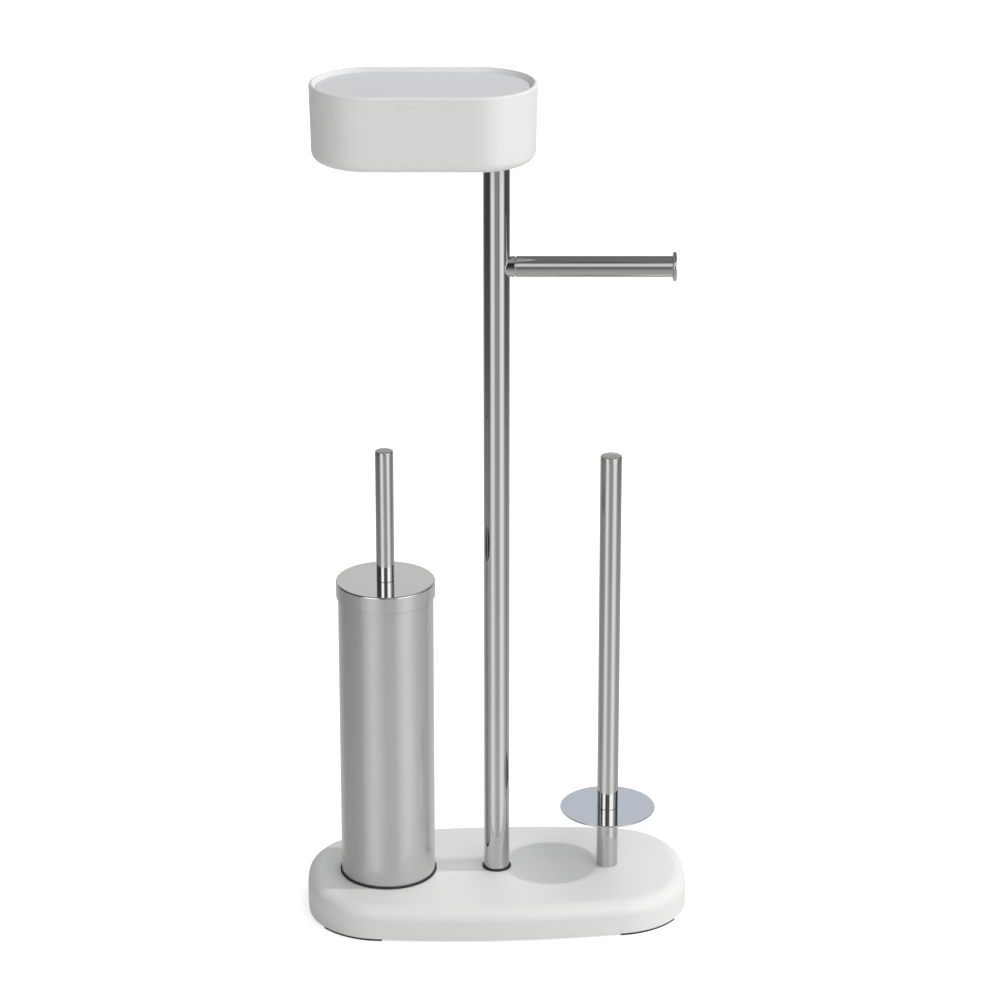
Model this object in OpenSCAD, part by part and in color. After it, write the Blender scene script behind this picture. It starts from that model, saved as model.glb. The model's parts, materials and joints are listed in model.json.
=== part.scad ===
// Toilet roll and brush stand: a heavy base carries a post with a storage box and a roll arm,
// a rod for spare rolls with its disc, and a steel holder with a toilet brush.
// Millimetres, +Z up. The origin is the middle of the base on the floor. +X points to the spare
// rolls and -Y to the front.

/* [Base] */
// Width of the base, left to right
base_w = 324; // [315:1:360]
// Depth of the base, front to back
base_d = 170; // [160:1:190]
// Height of the top face above the floor
base_h = 30; // [30:1:40]
// Radius of the bowed front and back edges
base_front_r = 780; // [600:10:1200]
// Radius of the bowed left and right ends
base_end_r = 260; // [200:5:400]
// How much smaller the corners' radius is than half the depth
base_corner_gap = 21.5; // [16:0.5:28]
// Radius of the soft top edge
base_edge_r = 12; // [6:0.5:13]
// Wall of the cover at its sides
cover_wall = 4; // [3:0.5:6]
// Thickness of the cover's top
cover_top_t = 6; // [4:0.5:8]
// Thickness of the closing plate
plate_t = 3; // [2:0.5:4]
// Gap between the cover's wall and the layers inside it
layer_gap = 0.5; // [0.2:0.1:1]
// Height of the anti-slip strips below the base
strip_t = 2; // [1.5:0.1:2.5]
// Width of an anti-slip strip
strip_w = 8; // [5:0.5:12]
// Distance of a strip from the base's edge
strip_inset = 0.6; // [0.4:0.1:3]
// Distance of a strip's outer end from the base's end
strip_end_gap = 16; // [9:0.5:30]
// Length of a strip, left to right
strip_l = 46; // [40:1:70]

/* [Base fasteners] */
// Thread diameter of the three bolts in the base
bolt_d = 8; // [6:1:8]
// Diameter of a bolt's round head
bolt_head_d = 13; // [12:0.5:15]
// Height of a bolt's round head
bolt_head_h = 8; // [6:0.5:8]
// Width across flats of the socket in a bolt's head
bolt_socket_af = 6; // [4:0.5:7]
// Depth of the socket in a bolt's head
bolt_socket_depth = 4; // [3:0.5:5]
// Diameter of a bolt's washer
washer_d = 18; // [16:0.5:20]
// Thickness of a bolt's washer
washer_t = 1.6; // [1:0.1:2]
// Thickness of ballast left above a bolt's washer
bolt_seat_t = 12; // [10:0.5:12.5]
// Depth to which a bolt enters what it holds
bolt_grip = 18; // [14:1:20]
// Thread diameter of the closing plate's screws
plate_screw_d = 4; // [3:0.5:5]
// Length of the closing plate's screws
plate_screw_l = 12; // [8:1:14]
// Diameter of their countersunk heads
plate_screw_head_d = 7.5; // [7:0.5:9]
// Diameter of the cover's bosses that take those screws
boss_d = 12; // [9:0.5:16]
// Distance of the outer plate screws from the base's ends
plate_screw_end_gap = 23.5; // [21:0.5:30]
// Share of the base's half width at which the inner plate screws stand
plate_screw_share = 0.3; // [0.25:0.01:0.34]
// Distance of the inner plate screws from the base's front and back edges
plate_screw_edge_gap = 21.5; // [18:0.5:28]

/* [Post] */
// Diameter of the post
post_d = 21.6; // [19:0.2:25]
// Wall of the post
post_wall = 1.5; // [1:0.1:2.5]
// Turn of the post, with its box and arm, from the base's long axis
post_turn = 3; // [0:0.5:8]
// Diameter of the black washer under the post
post_washer_d = 24.6; // [24:0.2:30]
// Thickness of the black washer under the post
post_washer_t = 1.5; // [1:0.1:3]
// Length of the threaded plug in the post's foot
post_foot_plug_l = 26; // [22:1:40]
// Length of the threaded plug in the post's head
post_head_plug_l = 22; // [18:1:40]

/* [Storage box] */
// Height of the box's underside above the floor
box_z = 661.6; // [640:0.1:720]
// Length of the box
box_w = 183.4; // [160:0.2:200]
// Depth of the box
box_d = 97.2; // [85:0.5:110]
// Height of the box
box_h = 63.2; // [50:0.1:80]
// Distance of the box's middle from the post
box_reach = 58.5; // [50:0.5:65]
// Wall of the box
box_wall = 2.5; // [2:0.1:3.5]
// Thickness of the box's floor
box_floor_t = 3.5; // [3:0.1:5]
// Draw of the box's wall, narrower at the foot than at the rim
box_draft = 1.5; // [0:0.1:3]
// Radius of the box's lower outer edge
box_foot_r = 8; // [4:0.5:10]
// Radius of the rim's outer edge
rim_edge_r = 2; // [1:0.1:2.5]
// Width of the rim's crest, its outer radius included
rim_crest_w = 2.6; // [2.6:0.1:4]
// Width of the slope from the rim's crest down to the lid
rim_slope_w = 3.2; // [2:0.1:5]
// Depth of the lid's face below the rim
lid_drop = 3.5; // [2:0.1:5]
// Thickness of the lid
lid_t = 2; // [1.5:0.1:3]
// Gap round the lid
lid_gap = 0.5; // [0.3:0.1:1]
// Width of the ledge that carries the lid
ledge_w = 4; // [3:0.5:6]
// Thickness of the ledge that carries the lid
ledge_t = 2.5; // [2:0.5:4]
// Depth of the locating rib under the lid
lid_rib_h = 3; // [2:0.5:5]
// Thickness of the locating rib under the lid
lid_rib_t = 1.6; // [1.2:0.1:2.5]
// Length of the finger groove in the front wall
groove_w = 46; // [30:1:60]
// Height of the finger groove
groove_h = 6; // [4:0.5:8]
// Depth of the finger groove
groove_depth = 0.9; // [0.5:0.1:1.2]
// Distance of the finger groove's middle below the rim
groove_drop = 9.5; // [8:0.5:14]
// Diameter of the clamp plate on the box's floor
clamp_d = 36; // [30:1:44]
// Thickness of the clamp plate
clamp_t = 3; // [2:0.5:4]
// Thread diameter of the box's screw
box_screw_d = 6; // [5:1:8]
// Depth to which the box's screw enters the post's plug
box_screw_grip = 14; // [10:1:16]
// Diameter of the box screw's domed head
box_screw_head_d = 12; // [11:0.5:15]
// Height of the box screw's domed head
box_screw_head_h = 3.5; // [3:0.5:5]

/* [Roll arm] */
// Distance of the arm's axis below the box
arm_drop = 91.2; // [60:0.1:120]
// Diameter of the arm
arm_d = 17.5; // [15:0.5:19]
// Distance of the arm's tip from the post's axis
arm_reach = 146.8; // [130:0.1:170]
// Distance of the boss's face from the post's axis
arm_boss_reach = 15; // [13:0.5:20]
// Width of the bright reveal between the boss and the arm
arm_reveal_w = 0.8; // [0.4:0.1:1.5]
// Depth of the reveal below the arm's surface
arm_reveal_depth = 1; // [0.5:0.1:2]
// Wall of the arm
arm_wall = 1.2; // [1:0.1:2]
// Length of the threaded plug in the arm
arm_plug_l = 24; // [18:1:40]
// Thread diameter of the arm's stud
arm_stud_d = 6; // [4:1:8]
// Length of the arm's stud
arm_stud_l = 22; // [16:1:26]
// Diameter of the disc that keeps the roll on the arm
arm_disc_d = 24.2; // [21:0.2:28]
// Thickness of the arm's end disc
arm_disc_t = 3.7; // [2:0.1:5]
// Length of the end disc's spigot inside the arm
arm_spigot_l = 10; // [6:1:16]

/* [Spare roll rod] */
// Distance of the rod from the base's right end
spare_end_gap = 67; // [60:0.5:75]
// Diameter of the rod
spare_d = 18; // [15:0.5:20]
// Wall of the rod above the disc
spare_wall = 1.2; // [1:0.1:2]
// Height of the rod's tip above the floor
spare_top_z = 404.6; // [370:0.1:450]
// Height of the disc's face above the floor
disc_z = 84.4; // [75:0.1:100]
// Diameter of the disc that carries the spare rolls
disc_d = 81; // [70:1:90]
// Thickness of the disc
disc_t = 2; // [1.5:0.1:4]
// Thread diameter of the stud through the disc
spare_stud_d = 6; // [5:1:8]
// Depth to which the stud enters on each side of the disc
spare_stud_grip = 13; // [8:1:15]
// Length of the threaded plug in the rod's tube
spare_plug_l = 20; // [16:1:30]
// Thickness of the rod's end cap that shows
spare_cap_t = 2.5; // [2:0.5:5]
// Length of the end cap's spigot
spare_cap_spigot_l = 10; // [6:1:16]

/* [Brush holder] */
// Distance of the holder's middle from the base's left end
holder_end_gap = 69; // [62:0.5:75]
// Diameter of the holder
holder_d = 80; // [76:1:84]
// Wall of the holder
holder_wall = 1; // [0.8:0.1:1.5]
// Length of the holder's tube
holder_l = 263.3; // [240:0.1:280]
// Diameter of the black ring under the holder
ring_d = 82.4; // [80:0.2:88]
// Thickness of the black ring under the holder
ring_t = 2; // [1.5:0.1:3]
// Width of the black ring
ring_w = 5; // [4:0.5:8]
// Thickness of the holder's floor
holder_floor_t = 2; // [1.5:0.1:3]
// Width across flats of the nut on the holder's floor
nut_af = 13; // [13:0.5:17]
// Height of the nut on the holder's floor
nut_h = 6.5; // [5:0.5:8]
// Wall of the plastic liner
liner_wall = 1.6; // [1.2:0.1:2.5]
// Thickness of the liner's floor
liner_floor_t = 2; // [1.5:0.1:3]
// Gap between the holder and the liner
liner_gap = 0.4; // [0.3:0.1:1]
// Thickness of the liner's lip on the holder's rim
lip_t = 1.6; // [1:0.1:2.5]
// Height of the liner's floor above the nut
liner_rise = 1; // [0.5:0.5:5]

/* [Brush] */
// Thickness of the steel lid
cap_t = 1.2; // [0.8:0.1:2]
// Height of the lid's skirt, with its top
cap_h = 14; // [10:0.5:20]
// Gap between the lid's skirt and the holder
cap_gap = 0.3; // [0.3:0.05:0.8]
// Radius of the lid's upper edge
cap_edge_r = 1.2; // [0.8:0.1:2]
// Diameter of the handle
handle_d = 15.2; // [12:0.2:18]
// Length of the handle above the lid
handle_l = 114.6; // [90:0.1:120]
// Wall of the handle
handle_wall = 1.2; // [1:0.1:2]
// Length of the threaded plug in the handle
handle_plug_l = 22; // [16:1:30]
// Thickness of the handle's end cap that shows
handle_cap_t = 2; // [1.5:0.5:4]
// Length of the handle cap's spigot
handle_cap_spigot_l = 8; // [5:1:14]
// Thread diameter of the stud through the lid
brush_stud_d = 6; // [5:1:8]
// Depth to which the stud enters on each side of the lid
brush_stud_grip = 15; // [10:1:15]
// Diameter of the brush's stem
stem_d = 12; // [10:0.5:14]
// Diameter of the stem's collar under the lid
collar_d = 26; // [18:1:34]
// Thickness of the stem's collar
collar_t = 3; // [2:0.5:5]
// Height of the bristles' lowest row of roots above the floor
head_z = 64; // [63:1:72]
// Height of the rows of bristles
head_h = 76; // [60:1:90]
// Diameter of the core that the bristles stand in
core_d = 16; // [14:0.5:18]
// Length of core beyond the rows, at each end
core_end = 4; // [3:0.5:6]
// Depth of the stem's socket in the core
core_socket = 30; // [20:1:45]
// Gap between the liner and the bristles at the middle of the head
bristle_gap = 3; // [1.5:0.5:6]
// Loss of bristle length at the head's two ends
bristle_round = 5; // [2:0.5:8]
// How far the end rows splay up and down at their tips
bristle_splay = 7; // [0:0.5:9]
// Thickness of a bristle tuft at its root
tuft_t = 1.4; // [1:0.1:1.8]
// Thickness of a bristle tuft at its tip
tuft_tip_t = 0.8; // [0.5:0.1:1.2]
// Number of tufts in one row
tufts = 18; // [16:1:20]
// Number of rows of tufts
rows = 18; // [16:1:20]

/* [Finish] */
// Bevel at the ends of the bars and tubes
end_bevel = 0.8; // [0.4:0.1:1.2]
// Slip fit of plugs, spigots and threads, on the radius
slip = 0.05; // [0.03:0.01:0.1]
// Gap round bolts and screws that pass through
bolt_gap = 0.4; // [0.2:0.1:0.6]
// Roundness of the circles
$fn = 96; // [48:8:128]

/* [Hidden] */

// Overrun of every cut
cut = 1;

// Steps in the base outline's long arcs, corners and ends, and in its soft top edge
front_steps = 5;
corner_steps = 9;
end_steps = 3;
edge_steps = 5;

// Steps in the rounded edges of the box and of the brush's lid
foot_steps = 6;
rim_steps = 4;

// Levels in the base, from the floor up
cover_z = strip_t;
plate_top_z = cover_z + plate_t;
cover_ceiling_z = base_h - cover_top_t;
bolt_seat_z = cover_ceiling_z - bolt_seat_t;
bolt_head_z = bolt_seat_z - washer_t - bolt_head_h;
bolt_pocket_d = washer_d + 2 * bolt_gap;

// Places on the base
base_corner_r = base_d / 2 - base_corner_gap;
plate_screw_x = base_w / 2 - plate_screw_end_gap;
plate_screw_mid_x = plate_screw_share * base_w / 2;
plate_screw_y = base_d / 2 - plate_screw_edge_gap;
strip_x = base_w / 2 - strip_end_gap - strip_l / 2;
spare_reach = base_w / 2 - spare_end_gap;
holder_reach = base_w / 2 - holder_end_gap;

// Levels in the post
post_z = base_h + post_washer_t;
post_bore_d = post_d - 2 * post_wall;

// Sections of the storage box, measured from its middle line
box_r = box_d / 2;
box_half_straight = box_w / 2 - box_r;
box_inner_r = box_r - box_wall;
lid_seat_z = box_h - lid_drop - lid_t;
lid_recess_r = box_r - rim_crest_w - rim_slope_w;
ledge_r = lid_recess_r - ledge_w;
ledge_z = lid_seat_z - ledge_t;

// Places and sizes of the roll arm
arm_z = box_z - arm_drop;
arm_tube_start = arm_boss_reach + arm_reveal_w;
arm_stud_start = post_d / 2 + bolt_gap;
arm_tube_end = arm_reach - arm_disc_t;
arm_bore_d = arm_d - 2 * arm_wall;

// Sizes of the spare roll rod
disc_under_z = disc_z - disc_t;
spare_bore_d = spare_d - 2 * spare_wall;
spare_tube_top_z = spare_top_z - spare_cap_t;

// Levels and sizes of the holder
holder_z = base_h + ring_t;
holder_top_z = holder_z + holder_l;
holder_bore_d = holder_d - 2 * holder_wall;
holder_floor_top_z = holder_z + holder_floor_t;
liner_z = holder_floor_top_z + nut_h + liner_rise;
liner_d = holder_bore_d - 2 * liner_gap;
liner_bore_d = liner_d - 2 * liner_wall;

// Levels and sizes of the brush
cap_under_z = holder_top_z + lip_t;
cap_top_z = cap_under_z + cap_t;
cap_bore_d = holder_d + 2 * cap_gap;
cap_d = cap_bore_d + 2 * cap_t;
handle_bore_d = handle_d - 2 * handle_wall;
handle_tube_top_z = cap_top_z + handle_l - handle_cap_t;
core_z = head_z - core_end;
core_top_z = head_z + head_h + core_end;
stem_z = core_top_z - core_socket;
bristle_d = liner_bore_d - 2 * bristle_gap;

// Points of a circular arc, from one angle to another
function arc(centre, radius, from, to, steps) =
    [for (i = [0:steps])
        let (a = from + (to - from) * i / steps)
        centre + radius * [cos(a), sin(a)]];
function mirrored(points, x, y) = [for (p = points) [x * p.x, y * p.y]];
function reversed(points) = [for (i = [len(points) - 1:-1:0]) points[i]];
function same(p, q) = norm(p - q) < slip / 10;
function without_repeats(points) =
    [for (i = [0:len(points) - 1])
        if (!same(points[i], points[(i + 1) % len(points)])) points[i]];

// Centres of the base outline's arcs: the corner arc touches the long arc and the end arc
front_centre = [0, base_d / 2 - base_front_r];
end_centre = [base_w / 2 - base_end_r, 0];
front_hold = base_front_r - base_corner_r;
end_hold = base_end_r - base_corner_r;
centre_gap = norm(end_centre - front_centre);
along = (front_hold ^ 2 - end_hold ^ 2 + centre_gap ^ 2) / (2 * centre_gap);
across = sqrt(front_hold ^ 2 - along ^ 2);
centre_line = (end_centre - front_centre) / centre_gap;
corner_centre = front_centre + along * centre_line + across * [centre_line.y, -centre_line.x];
front_angle = atan2(corner_centre.y - front_centre.y, corner_centre.x - front_centre.x);
end_angle = atan2(corner_centre.y - end_centre.y, corner_centre.x - end_centre.x);

// The base's outline, drawn in by an inset
function quarter(inset) = concat(
    arc(front_centre, base_front_r - inset, 90, front_angle, front_steps),
    arc(corner_centre, base_corner_r - inset, front_angle, end_angle, corner_steps),
    arc(end_centre, base_end_r - inset, end_angle, 0, end_steps));
function base_outline(inset) =
    let (q = quarter(inset))
    without_repeats(concat(q, reversed(mirrored(q, 1, -1)),
        mirrored(q, -1, -1), reversed(mirrored(q, -1, 1))));

module base_layer(inset, from, to)
    translate([0, 0, from]) linear_extrude(to - from) polygon(base_outline(inset));

// A closed solid through rings of points, listed from the lowest up and clockwise from above
module stack(rings) {
    n = len(rings[0]);
    points = [for (ring = rings) for (p = ring) p];
    top = (len(rings) - 1) * n;
    sides = [for (k = [0:len(rings) - 2]) for (i = [0:n - 1])
        let (j = (i + 1) % n)
        [k * n + i, (k + 1) * n + i, (k + 1) * n + j, k * n + j]];
    polyhedron(points, concat([[for (i = [n - 1:-1:0]) i]], sides, [[for (i = [0:n - 1]) top + i]]));
}

function raised(points, z) = [for (p = points) [p.x, p.y, z]];

// The cover's outside: straight sides, then the soft top edge
module cover_outside() {
    edge_z = base_h - base_edge_r;
    edge = [for (k = [0:edge_steps])
        let (a = 90 * k / edge_steps)
        raised(base_outline(base_edge_r * (1 - cos(a))), edge_z + base_edge_r * sin(a))];
    stack(concat([raised(base_outline(0), cover_z)], edge));
}

// A round bar from one height to another, with an optional bevel at its top
module bar(d, from, to, bevel = 0)
    rotate_extrude()
        polygon([[0, from], [d / 2, from], [d / 2, to - bevel], [d / 2 - bevel, to], [0, to]]);

module tube(d, bore, from, to)
    difference() {
        bar(d, from, to);
        bar(bore, from - cut, to + cut);
    }

// A plug with a threaded hole through it
module plug(bore, thread, from, to)
    tube(bore - 2 * slip, thread + 2 * slip, from, to);

module hexagon(across_flats, from, to)
    translate([0, 0, from]) cylinder(d = across_flats / cos(30), h = to - from, $fn = 6);

module at_holder() translate([-holder_reach, 0, 0]) children();
module at_spare() translate([spare_reach, 0, 0]) children();
module at_bolts() {
    children();
    at_holder() children();
    at_spare() children();
}
module at_plate_screws()
    for (side = [-1, 1]) {
        translate([side * plate_screw_x, 0, 0]) children();
        for (end = [-1, 1])
            translate([side * plate_screw_mid_x, end * plate_screw_y, 0]) children();
    }

// The post's own frame: +X runs along the roll arm
module post_frame() rotate([0, 0, -post_turn]) children();
module arm_frame() post_frame() translate([0, 0, arm_z]) rotate([0, 90, 0]) children();
module box_frame() post_frame() translate([-box_reach, 0, box_z]) children();

// A section carried round an oblong: half turns at both ends and straight runs between them
module oblong() {
    for (side = [-1, 1])
        translate([side * box_half_straight, 0, 0])
            rotate([0, 0, -side * 90])
                rotate_extrude(angle = 180) children();
    rotate([90, 0, 90])
        linear_extrude(2 * box_half_straight, center = true) {
            children();
            mirror([1, 0]) children();
        }
}

module base_cover()
    color("WhiteSmoke")
        difference() {
            cover_outside();
            difference() {
                base_layer(cover_wall, cover_z - cut, cover_ceiling_z);
                at_plate_screws() bar(boss_d, plate_top_z, cover_ceiling_z + cut);
            }
            at_bolts() bar(bolt_d + 2 * bolt_gap, cover_ceiling_z - cut, base_h + cut);
            at_plate_screws()
                bar(plate_screw_d + 2 * slip, plate_top_z - cut, cover_z + plate_screw_l + cut);
        }

module base_ballast()
    color("DarkGray")
        difference() {
            base_layer(cover_wall + layer_gap, plate_top_z, cover_ceiling_z);
            at_bolts() {
                bar(bolt_d + 2 * bolt_gap, plate_top_z, cover_ceiling_z + cut);
                bar(bolt_pocket_d, plate_top_z - cut, bolt_seat_z);
            }
            at_plate_screws() bar(boss_d + 2 * layer_gap, plate_top_z - cut, cover_ceiling_z + cut);
        }

module base_plate()
    color("DarkSlateGray")
        difference() {
            base_layer(cover_wall + layer_gap, cover_z, plate_top_z);
            at_bolts() bar(bolt_pocket_d, cover_z - cut, plate_top_z + cut);
            at_plate_screws() {
                bar(plate_screw_d + 2 * bolt_gap, cover_z - cut, plate_top_z + cut);
                countersink(slip);
            }
        }

// The cone of a countersunk head, larger by a gap
module countersink(gap) {
    r = plate_screw_head_d / 2 + gap;
    rotate_extrude()
        polygon([[0, cover_z - gap], [r, cover_z - gap], [r, cover_z],
            [plate_screw_d / 2 + gap, cover_z + (plate_screw_head_d - plate_screw_d) / 2],
            [0, cover_z + (plate_screw_head_d - plate_screw_d) / 2]]);
}

module plate_screws()
    color("Silver")
        at_plate_screws() {
            countersink(0);
            bar(plate_screw_d, cover_z, cover_z + plate_screw_l);
        }

module anti_slip_strips()
    color("Black")
        intersection() {
            difference() {
                base_layer(strip_inset, 0, strip_t);
                base_layer(strip_inset + strip_w, -cut, strip_t + cut);
            }
            for (side = [-1, 1])
                translate([side * strip_x, 0, 0])
                    cube([strip_l, base_d, 2 * strip_t + cut], center = true);
        }

// A bolt with a round socket head, standing on its head
module base_bolt(top) {
    difference() {
        bar(bolt_head_d, bolt_head_z, bolt_head_z + bolt_head_h);
        hexagon(bolt_socket_af, bolt_head_z - cut, bolt_head_z + bolt_socket_depth);
    }
    bar(bolt_d, bolt_head_z + bolt_socket_depth, top, end_bevel);
}

module base_bolts()
    color("Silver") {
        base_bolt(post_z + bolt_grip);
        at_spare() base_bolt(base_h + bolt_grip);
        at_holder() base_bolt(holder_floor_top_z + nut_h);
    }

module base_bolt_washers()
    color("Silver")
        at_bolts() tube(washer_d, bolt_d + 2 * slip, bolt_seat_z - washer_t, bolt_seat_z);

module post_foot_washer()
    color("Black") tube(post_washer_d, bolt_d + 2 * bolt_gap, base_h, post_z);

module post_tube()
    color("LightGray") tube(post_d, post_bore_d, post_z, box_z);

module post_foot_plug()
    color("Silver") plug(post_bore_d, bolt_d, post_z, post_z + post_foot_plug_l);

module post_head_plug()
    color("Silver") plug(post_bore_d, box_screw_d, box_z - post_head_plug_l, box_z);

// Section of the box's wall and floor: outer face up, over the rim, down to the ledge and inside
module box_section() {
    foot_r = box_r - box_draft;
    floor_r = box_inner_r - box_draft;
    polygon(concat(
        [[0, 0]],
        arc([foot_r - box_foot_r, box_foot_r], box_foot_r, -90, 0, foot_steps),
        arc([box_r - rim_edge_r, box_h - rim_edge_r], rim_edge_r, 0, 90, rim_steps),
        [[box_r - rim_crest_w, box_h],
            [lid_recess_r, box_h - lid_drop],
            [lid_recess_r, lid_seat_z],
            [ledge_r, lid_seat_z],
            [ledge_r, ledge_z],
            [box_inner_r, ledge_z - ledge_w]],
        arc([floor_r - box_foot_r, box_floor_t + box_foot_r], box_foot_r, 0, -90, foot_steps),
        [[0, box_floor_t]]));
}

// A rounded groove that a fingertip finds, cut along the front wall
module finger_groove() {
    r = (groove_depth ^ 2 + (groove_h / 2) ^ 2) / (2 * groove_depth);
    half = groove_w / 2 - groove_h / 2;
    front = -box_r + box_draft * groove_drop / box_h;
    translate([0, front + groove_depth - r, box_h - groove_drop]) {
        rotate([0, 90, 0]) cylinder(r = r, h = 2 * half, center = true);
        for (side = [-1, 1]) translate([side * half, 0, 0]) sphere(r);
    }
}

module box_body()
    color("WhiteSmoke")
        difference() {
            box_frame() difference() {
                oblong() box_section();
                finger_groove();
            }
            bar(box_screw_d + 2 * bolt_gap, box_z - cut, box_z + box_floor_t + cut);
        }

module box_clamp_plate()
    color("Silver")
        translate([0, 0, box_z + box_floor_t])
            tube(clamp_d, box_screw_d + 2 * slip, 0, clamp_t);

module box_screw()
    color("Silver") {
        seat_z = box_z + box_floor_t + clamp_t;
        bar(box_screw_head_d, seat_z, seat_z + box_screw_head_h, box_screw_head_h / 2);
        bar(box_screw_d, box_z - box_screw_grip, seat_z + box_screw_head_h / 2);
    }

// Section of the lid: a flat plate with a locating rib inside the ledge
module lid_section() {
    rib_r = ledge_r - lid_gap;
    polygon([[0, lid_seat_z + lid_t], [lid_recess_r - lid_gap, lid_seat_z + lid_t],
        [lid_recess_r - lid_gap, lid_seat_z], [rib_r, lid_seat_z],
        [rib_r, lid_seat_z - lid_rib_h], [rib_r - lid_rib_t, lid_seat_z - lid_rib_h],
        [rib_r - lid_rib_t, lid_seat_z], [0, lid_seat_z]]);
}

module box_lid()
    color("Gainsboro") box_frame() oblong() lid_section();

// The boss is cut to the post's curve, where it is welded on
module arm_boss()
    color("LightGray")
        difference() {
            arm_frame() {
                bar(arm_d, 0, arm_boss_reach);
                bar(arm_d - 2 * arm_reveal_depth, arm_boss_reach, arm_tube_start);
            }
            arm_frame() bar(arm_stud_d + 2 * slip, -cut, arm_tube_start + cut);
            bar(post_d + 2 * slip, arm_z - arm_d, arm_z + arm_d);
        }

module arm_stud()
    color("Silver")
        arm_frame()
            bar(arm_stud_d, arm_stud_start, arm_stud_start + arm_stud_l, end_bevel);

module arm_plug()
    color("Silver")
        arm_frame() plug(arm_bore_d, arm_stud_d, arm_tube_start, arm_tube_start + arm_plug_l);

module arm_tube()
    color("LightGray") arm_frame() tube(arm_d, arm_bore_d, arm_tube_start, arm_tube_end);

module arm_end_disc()
    color("LightGray")
        arm_frame() {
            bar(arm_disc_d, arm_tube_end, arm_reach, end_bevel);
            bar(arm_bore_d - 2 * slip, arm_tube_end - arm_spigot_l, arm_tube_end + cut);
        }

module spare_rod_foot()
    color("LightGray")
        at_spare() difference() {
            bar(spare_d, base_h, disc_under_z);
            bar(bolt_d + 2 * slip, base_h - cut, base_h + bolt_grip + cut);
            bar(spare_stud_d + 2 * slip, disc_under_z - spare_stud_grip - cut, disc_under_z + cut);
        }

module spare_roll_disc()
    color("LightGray")
        at_spare() difference() {
            bar(disc_d, disc_under_z, disc_z, disc_t / 4);
            bar(spare_stud_d + 2 * slip, disc_under_z - cut, disc_z + cut);
        }

module spare_rod_stud()
    color("Silver")
        at_spare() bar(spare_stud_d, disc_under_z - spare_stud_grip, disc_z + spare_stud_grip);

module spare_rod_plug()
    color("Silver") at_spare() plug(spare_bore_d, spare_stud_d, disc_z, disc_z + spare_plug_l);

module spare_rod_tube()
    color("LightGray") at_spare() tube(spare_d, spare_bore_d, disc_z, spare_tube_top_z);

// An end cap: a bevelled face over a spigot inside the tube
module end_cap(d, bore, from, to, spigot_l) {
    bar(d, from, to, end_bevel);
    bar(bore - 2 * slip, from - spigot_l, from + end_bevel);
}

module spare_rod_cap()
    color("LightGray")
        at_spare() end_cap(spare_d, spare_bore_d, spare_tube_top_z, spare_top_z, spare_cap_spigot_l);

module holder_foot_ring()
    color("Black") at_holder() tube(ring_d, ring_d - 2 * ring_w, base_h, holder_z);

module holder_tube()
    color("LightGray") at_holder() tube(holder_d, holder_bore_d, holder_z, holder_top_z);

module holder_floor()
    color("Silver")
        at_holder() tube(holder_bore_d - 2 * slip, bolt_d + 2 * slip, holder_z, holder_floor_top_z);

module holder_nut()
    color("Silver")
        at_holder() difference() {
            hexagon(nut_af, holder_floor_top_z, holder_floor_top_z + nut_h);
            bar(bolt_d + 2 * slip, holder_floor_top_z - cut, holder_floor_top_z + nut_h + cut);
        }

module holder_liner()
    color("Gainsboro")
        at_holder() difference() {
            union() {
                bar(liner_d, liner_z, cap_under_z);
                bar(holder_d, holder_top_z, cap_under_z);
            }
            bar(liner_bore_d, liner_z + liner_floor_t, cap_under_z + cut);
        }

// Section of the lid: a rounded upper edge over a straight skirt
module brush_lid()
    color("LightGray")
        at_holder() rotate_extrude()
            polygon(concat(
                [[brush_stud_d / 2 + slip, cap_under_z],
                    [cap_bore_d / 2, cap_under_z],
                    [cap_bore_d / 2, cap_top_z - cap_h],
                    [cap_d / 2, cap_top_z - cap_h]],
                arc([cap_d / 2 - cap_edge_r, cap_top_z - cap_edge_r], cap_edge_r, 0, 90, rim_steps),
                [[brush_stud_d / 2 + slip, cap_top_z]]));

module brush_stud()
    color("Silver")
        at_holder() bar(brush_stud_d, cap_under_z - brush_stud_grip, cap_top_z + brush_stud_grip);

module handle_plug()
    color("Silver")
        at_holder() plug(handle_bore_d, brush_stud_d, cap_top_z, cap_top_z + handle_plug_l);

module handle_tube()
    color("LightGray")
        at_holder() tube(handle_d, handle_bore_d, cap_top_z, handle_tube_top_z);

module handle_cap()
    color("LightGray")
        at_holder() end_cap(handle_d, handle_bore_d, handle_tube_top_z, cap_top_z + handle_l,
            handle_cap_spigot_l);

module brush_stem()
    color("White")
        at_holder() difference() {
            union() {
                bar(stem_d, stem_z, cap_under_z);
                bar(collar_d, cap_under_z - collar_t, cap_under_z);
            }
            bar(brush_stud_d + 2 * slip, cap_under_z - brush_stud_grip - cut, cap_under_z + cut);
        }

module brush_core()
    color("White")
        at_holder() difference() {
            bar(core_d, core_z, core_top_z, end_bevel);
            bar(stem_d + 2 * slip, stem_z, core_top_z + cut);
        }

// The bristles grow from a sleeve of faces. Even and odd rows take every other face in turn, so
// the tufts of neighbouring rows stand between each other and none cross.
columns = 2 * tufts;
levels = 2 * rows + 2;
column_angle = 360 / columns;
sleeve_r = core_d / 2 + tuft_t;
sleeve_bore_r = (core_d / 2 + slip) / cos(column_angle / 2);
row_pitch = (head_h - tuft_t) / (rows - 1);

// Height of each level: the sleeve's foot, both edges of every row, and the sleeve's head
function level_z(k) =
    k == 0 ? core_z
    : k == levels - 1 ? core_top_z - end_bevel
    : head_z + row_pitch * floor((k - 1) / 2) + tuft_t * ((k - 1) % 2);
function has_tuft(k, i) = k % 2 == 1 && k < levels - 1 && (i + floor(k / 2)) % 2 == 0;

// How far a row lies from the head's middle, from -1 to 1
function row_share(row) = 2 * row / (rows - 1) - 1;
function polar(r, a, z) = [r * cos(a), r * sin(a), z];

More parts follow.
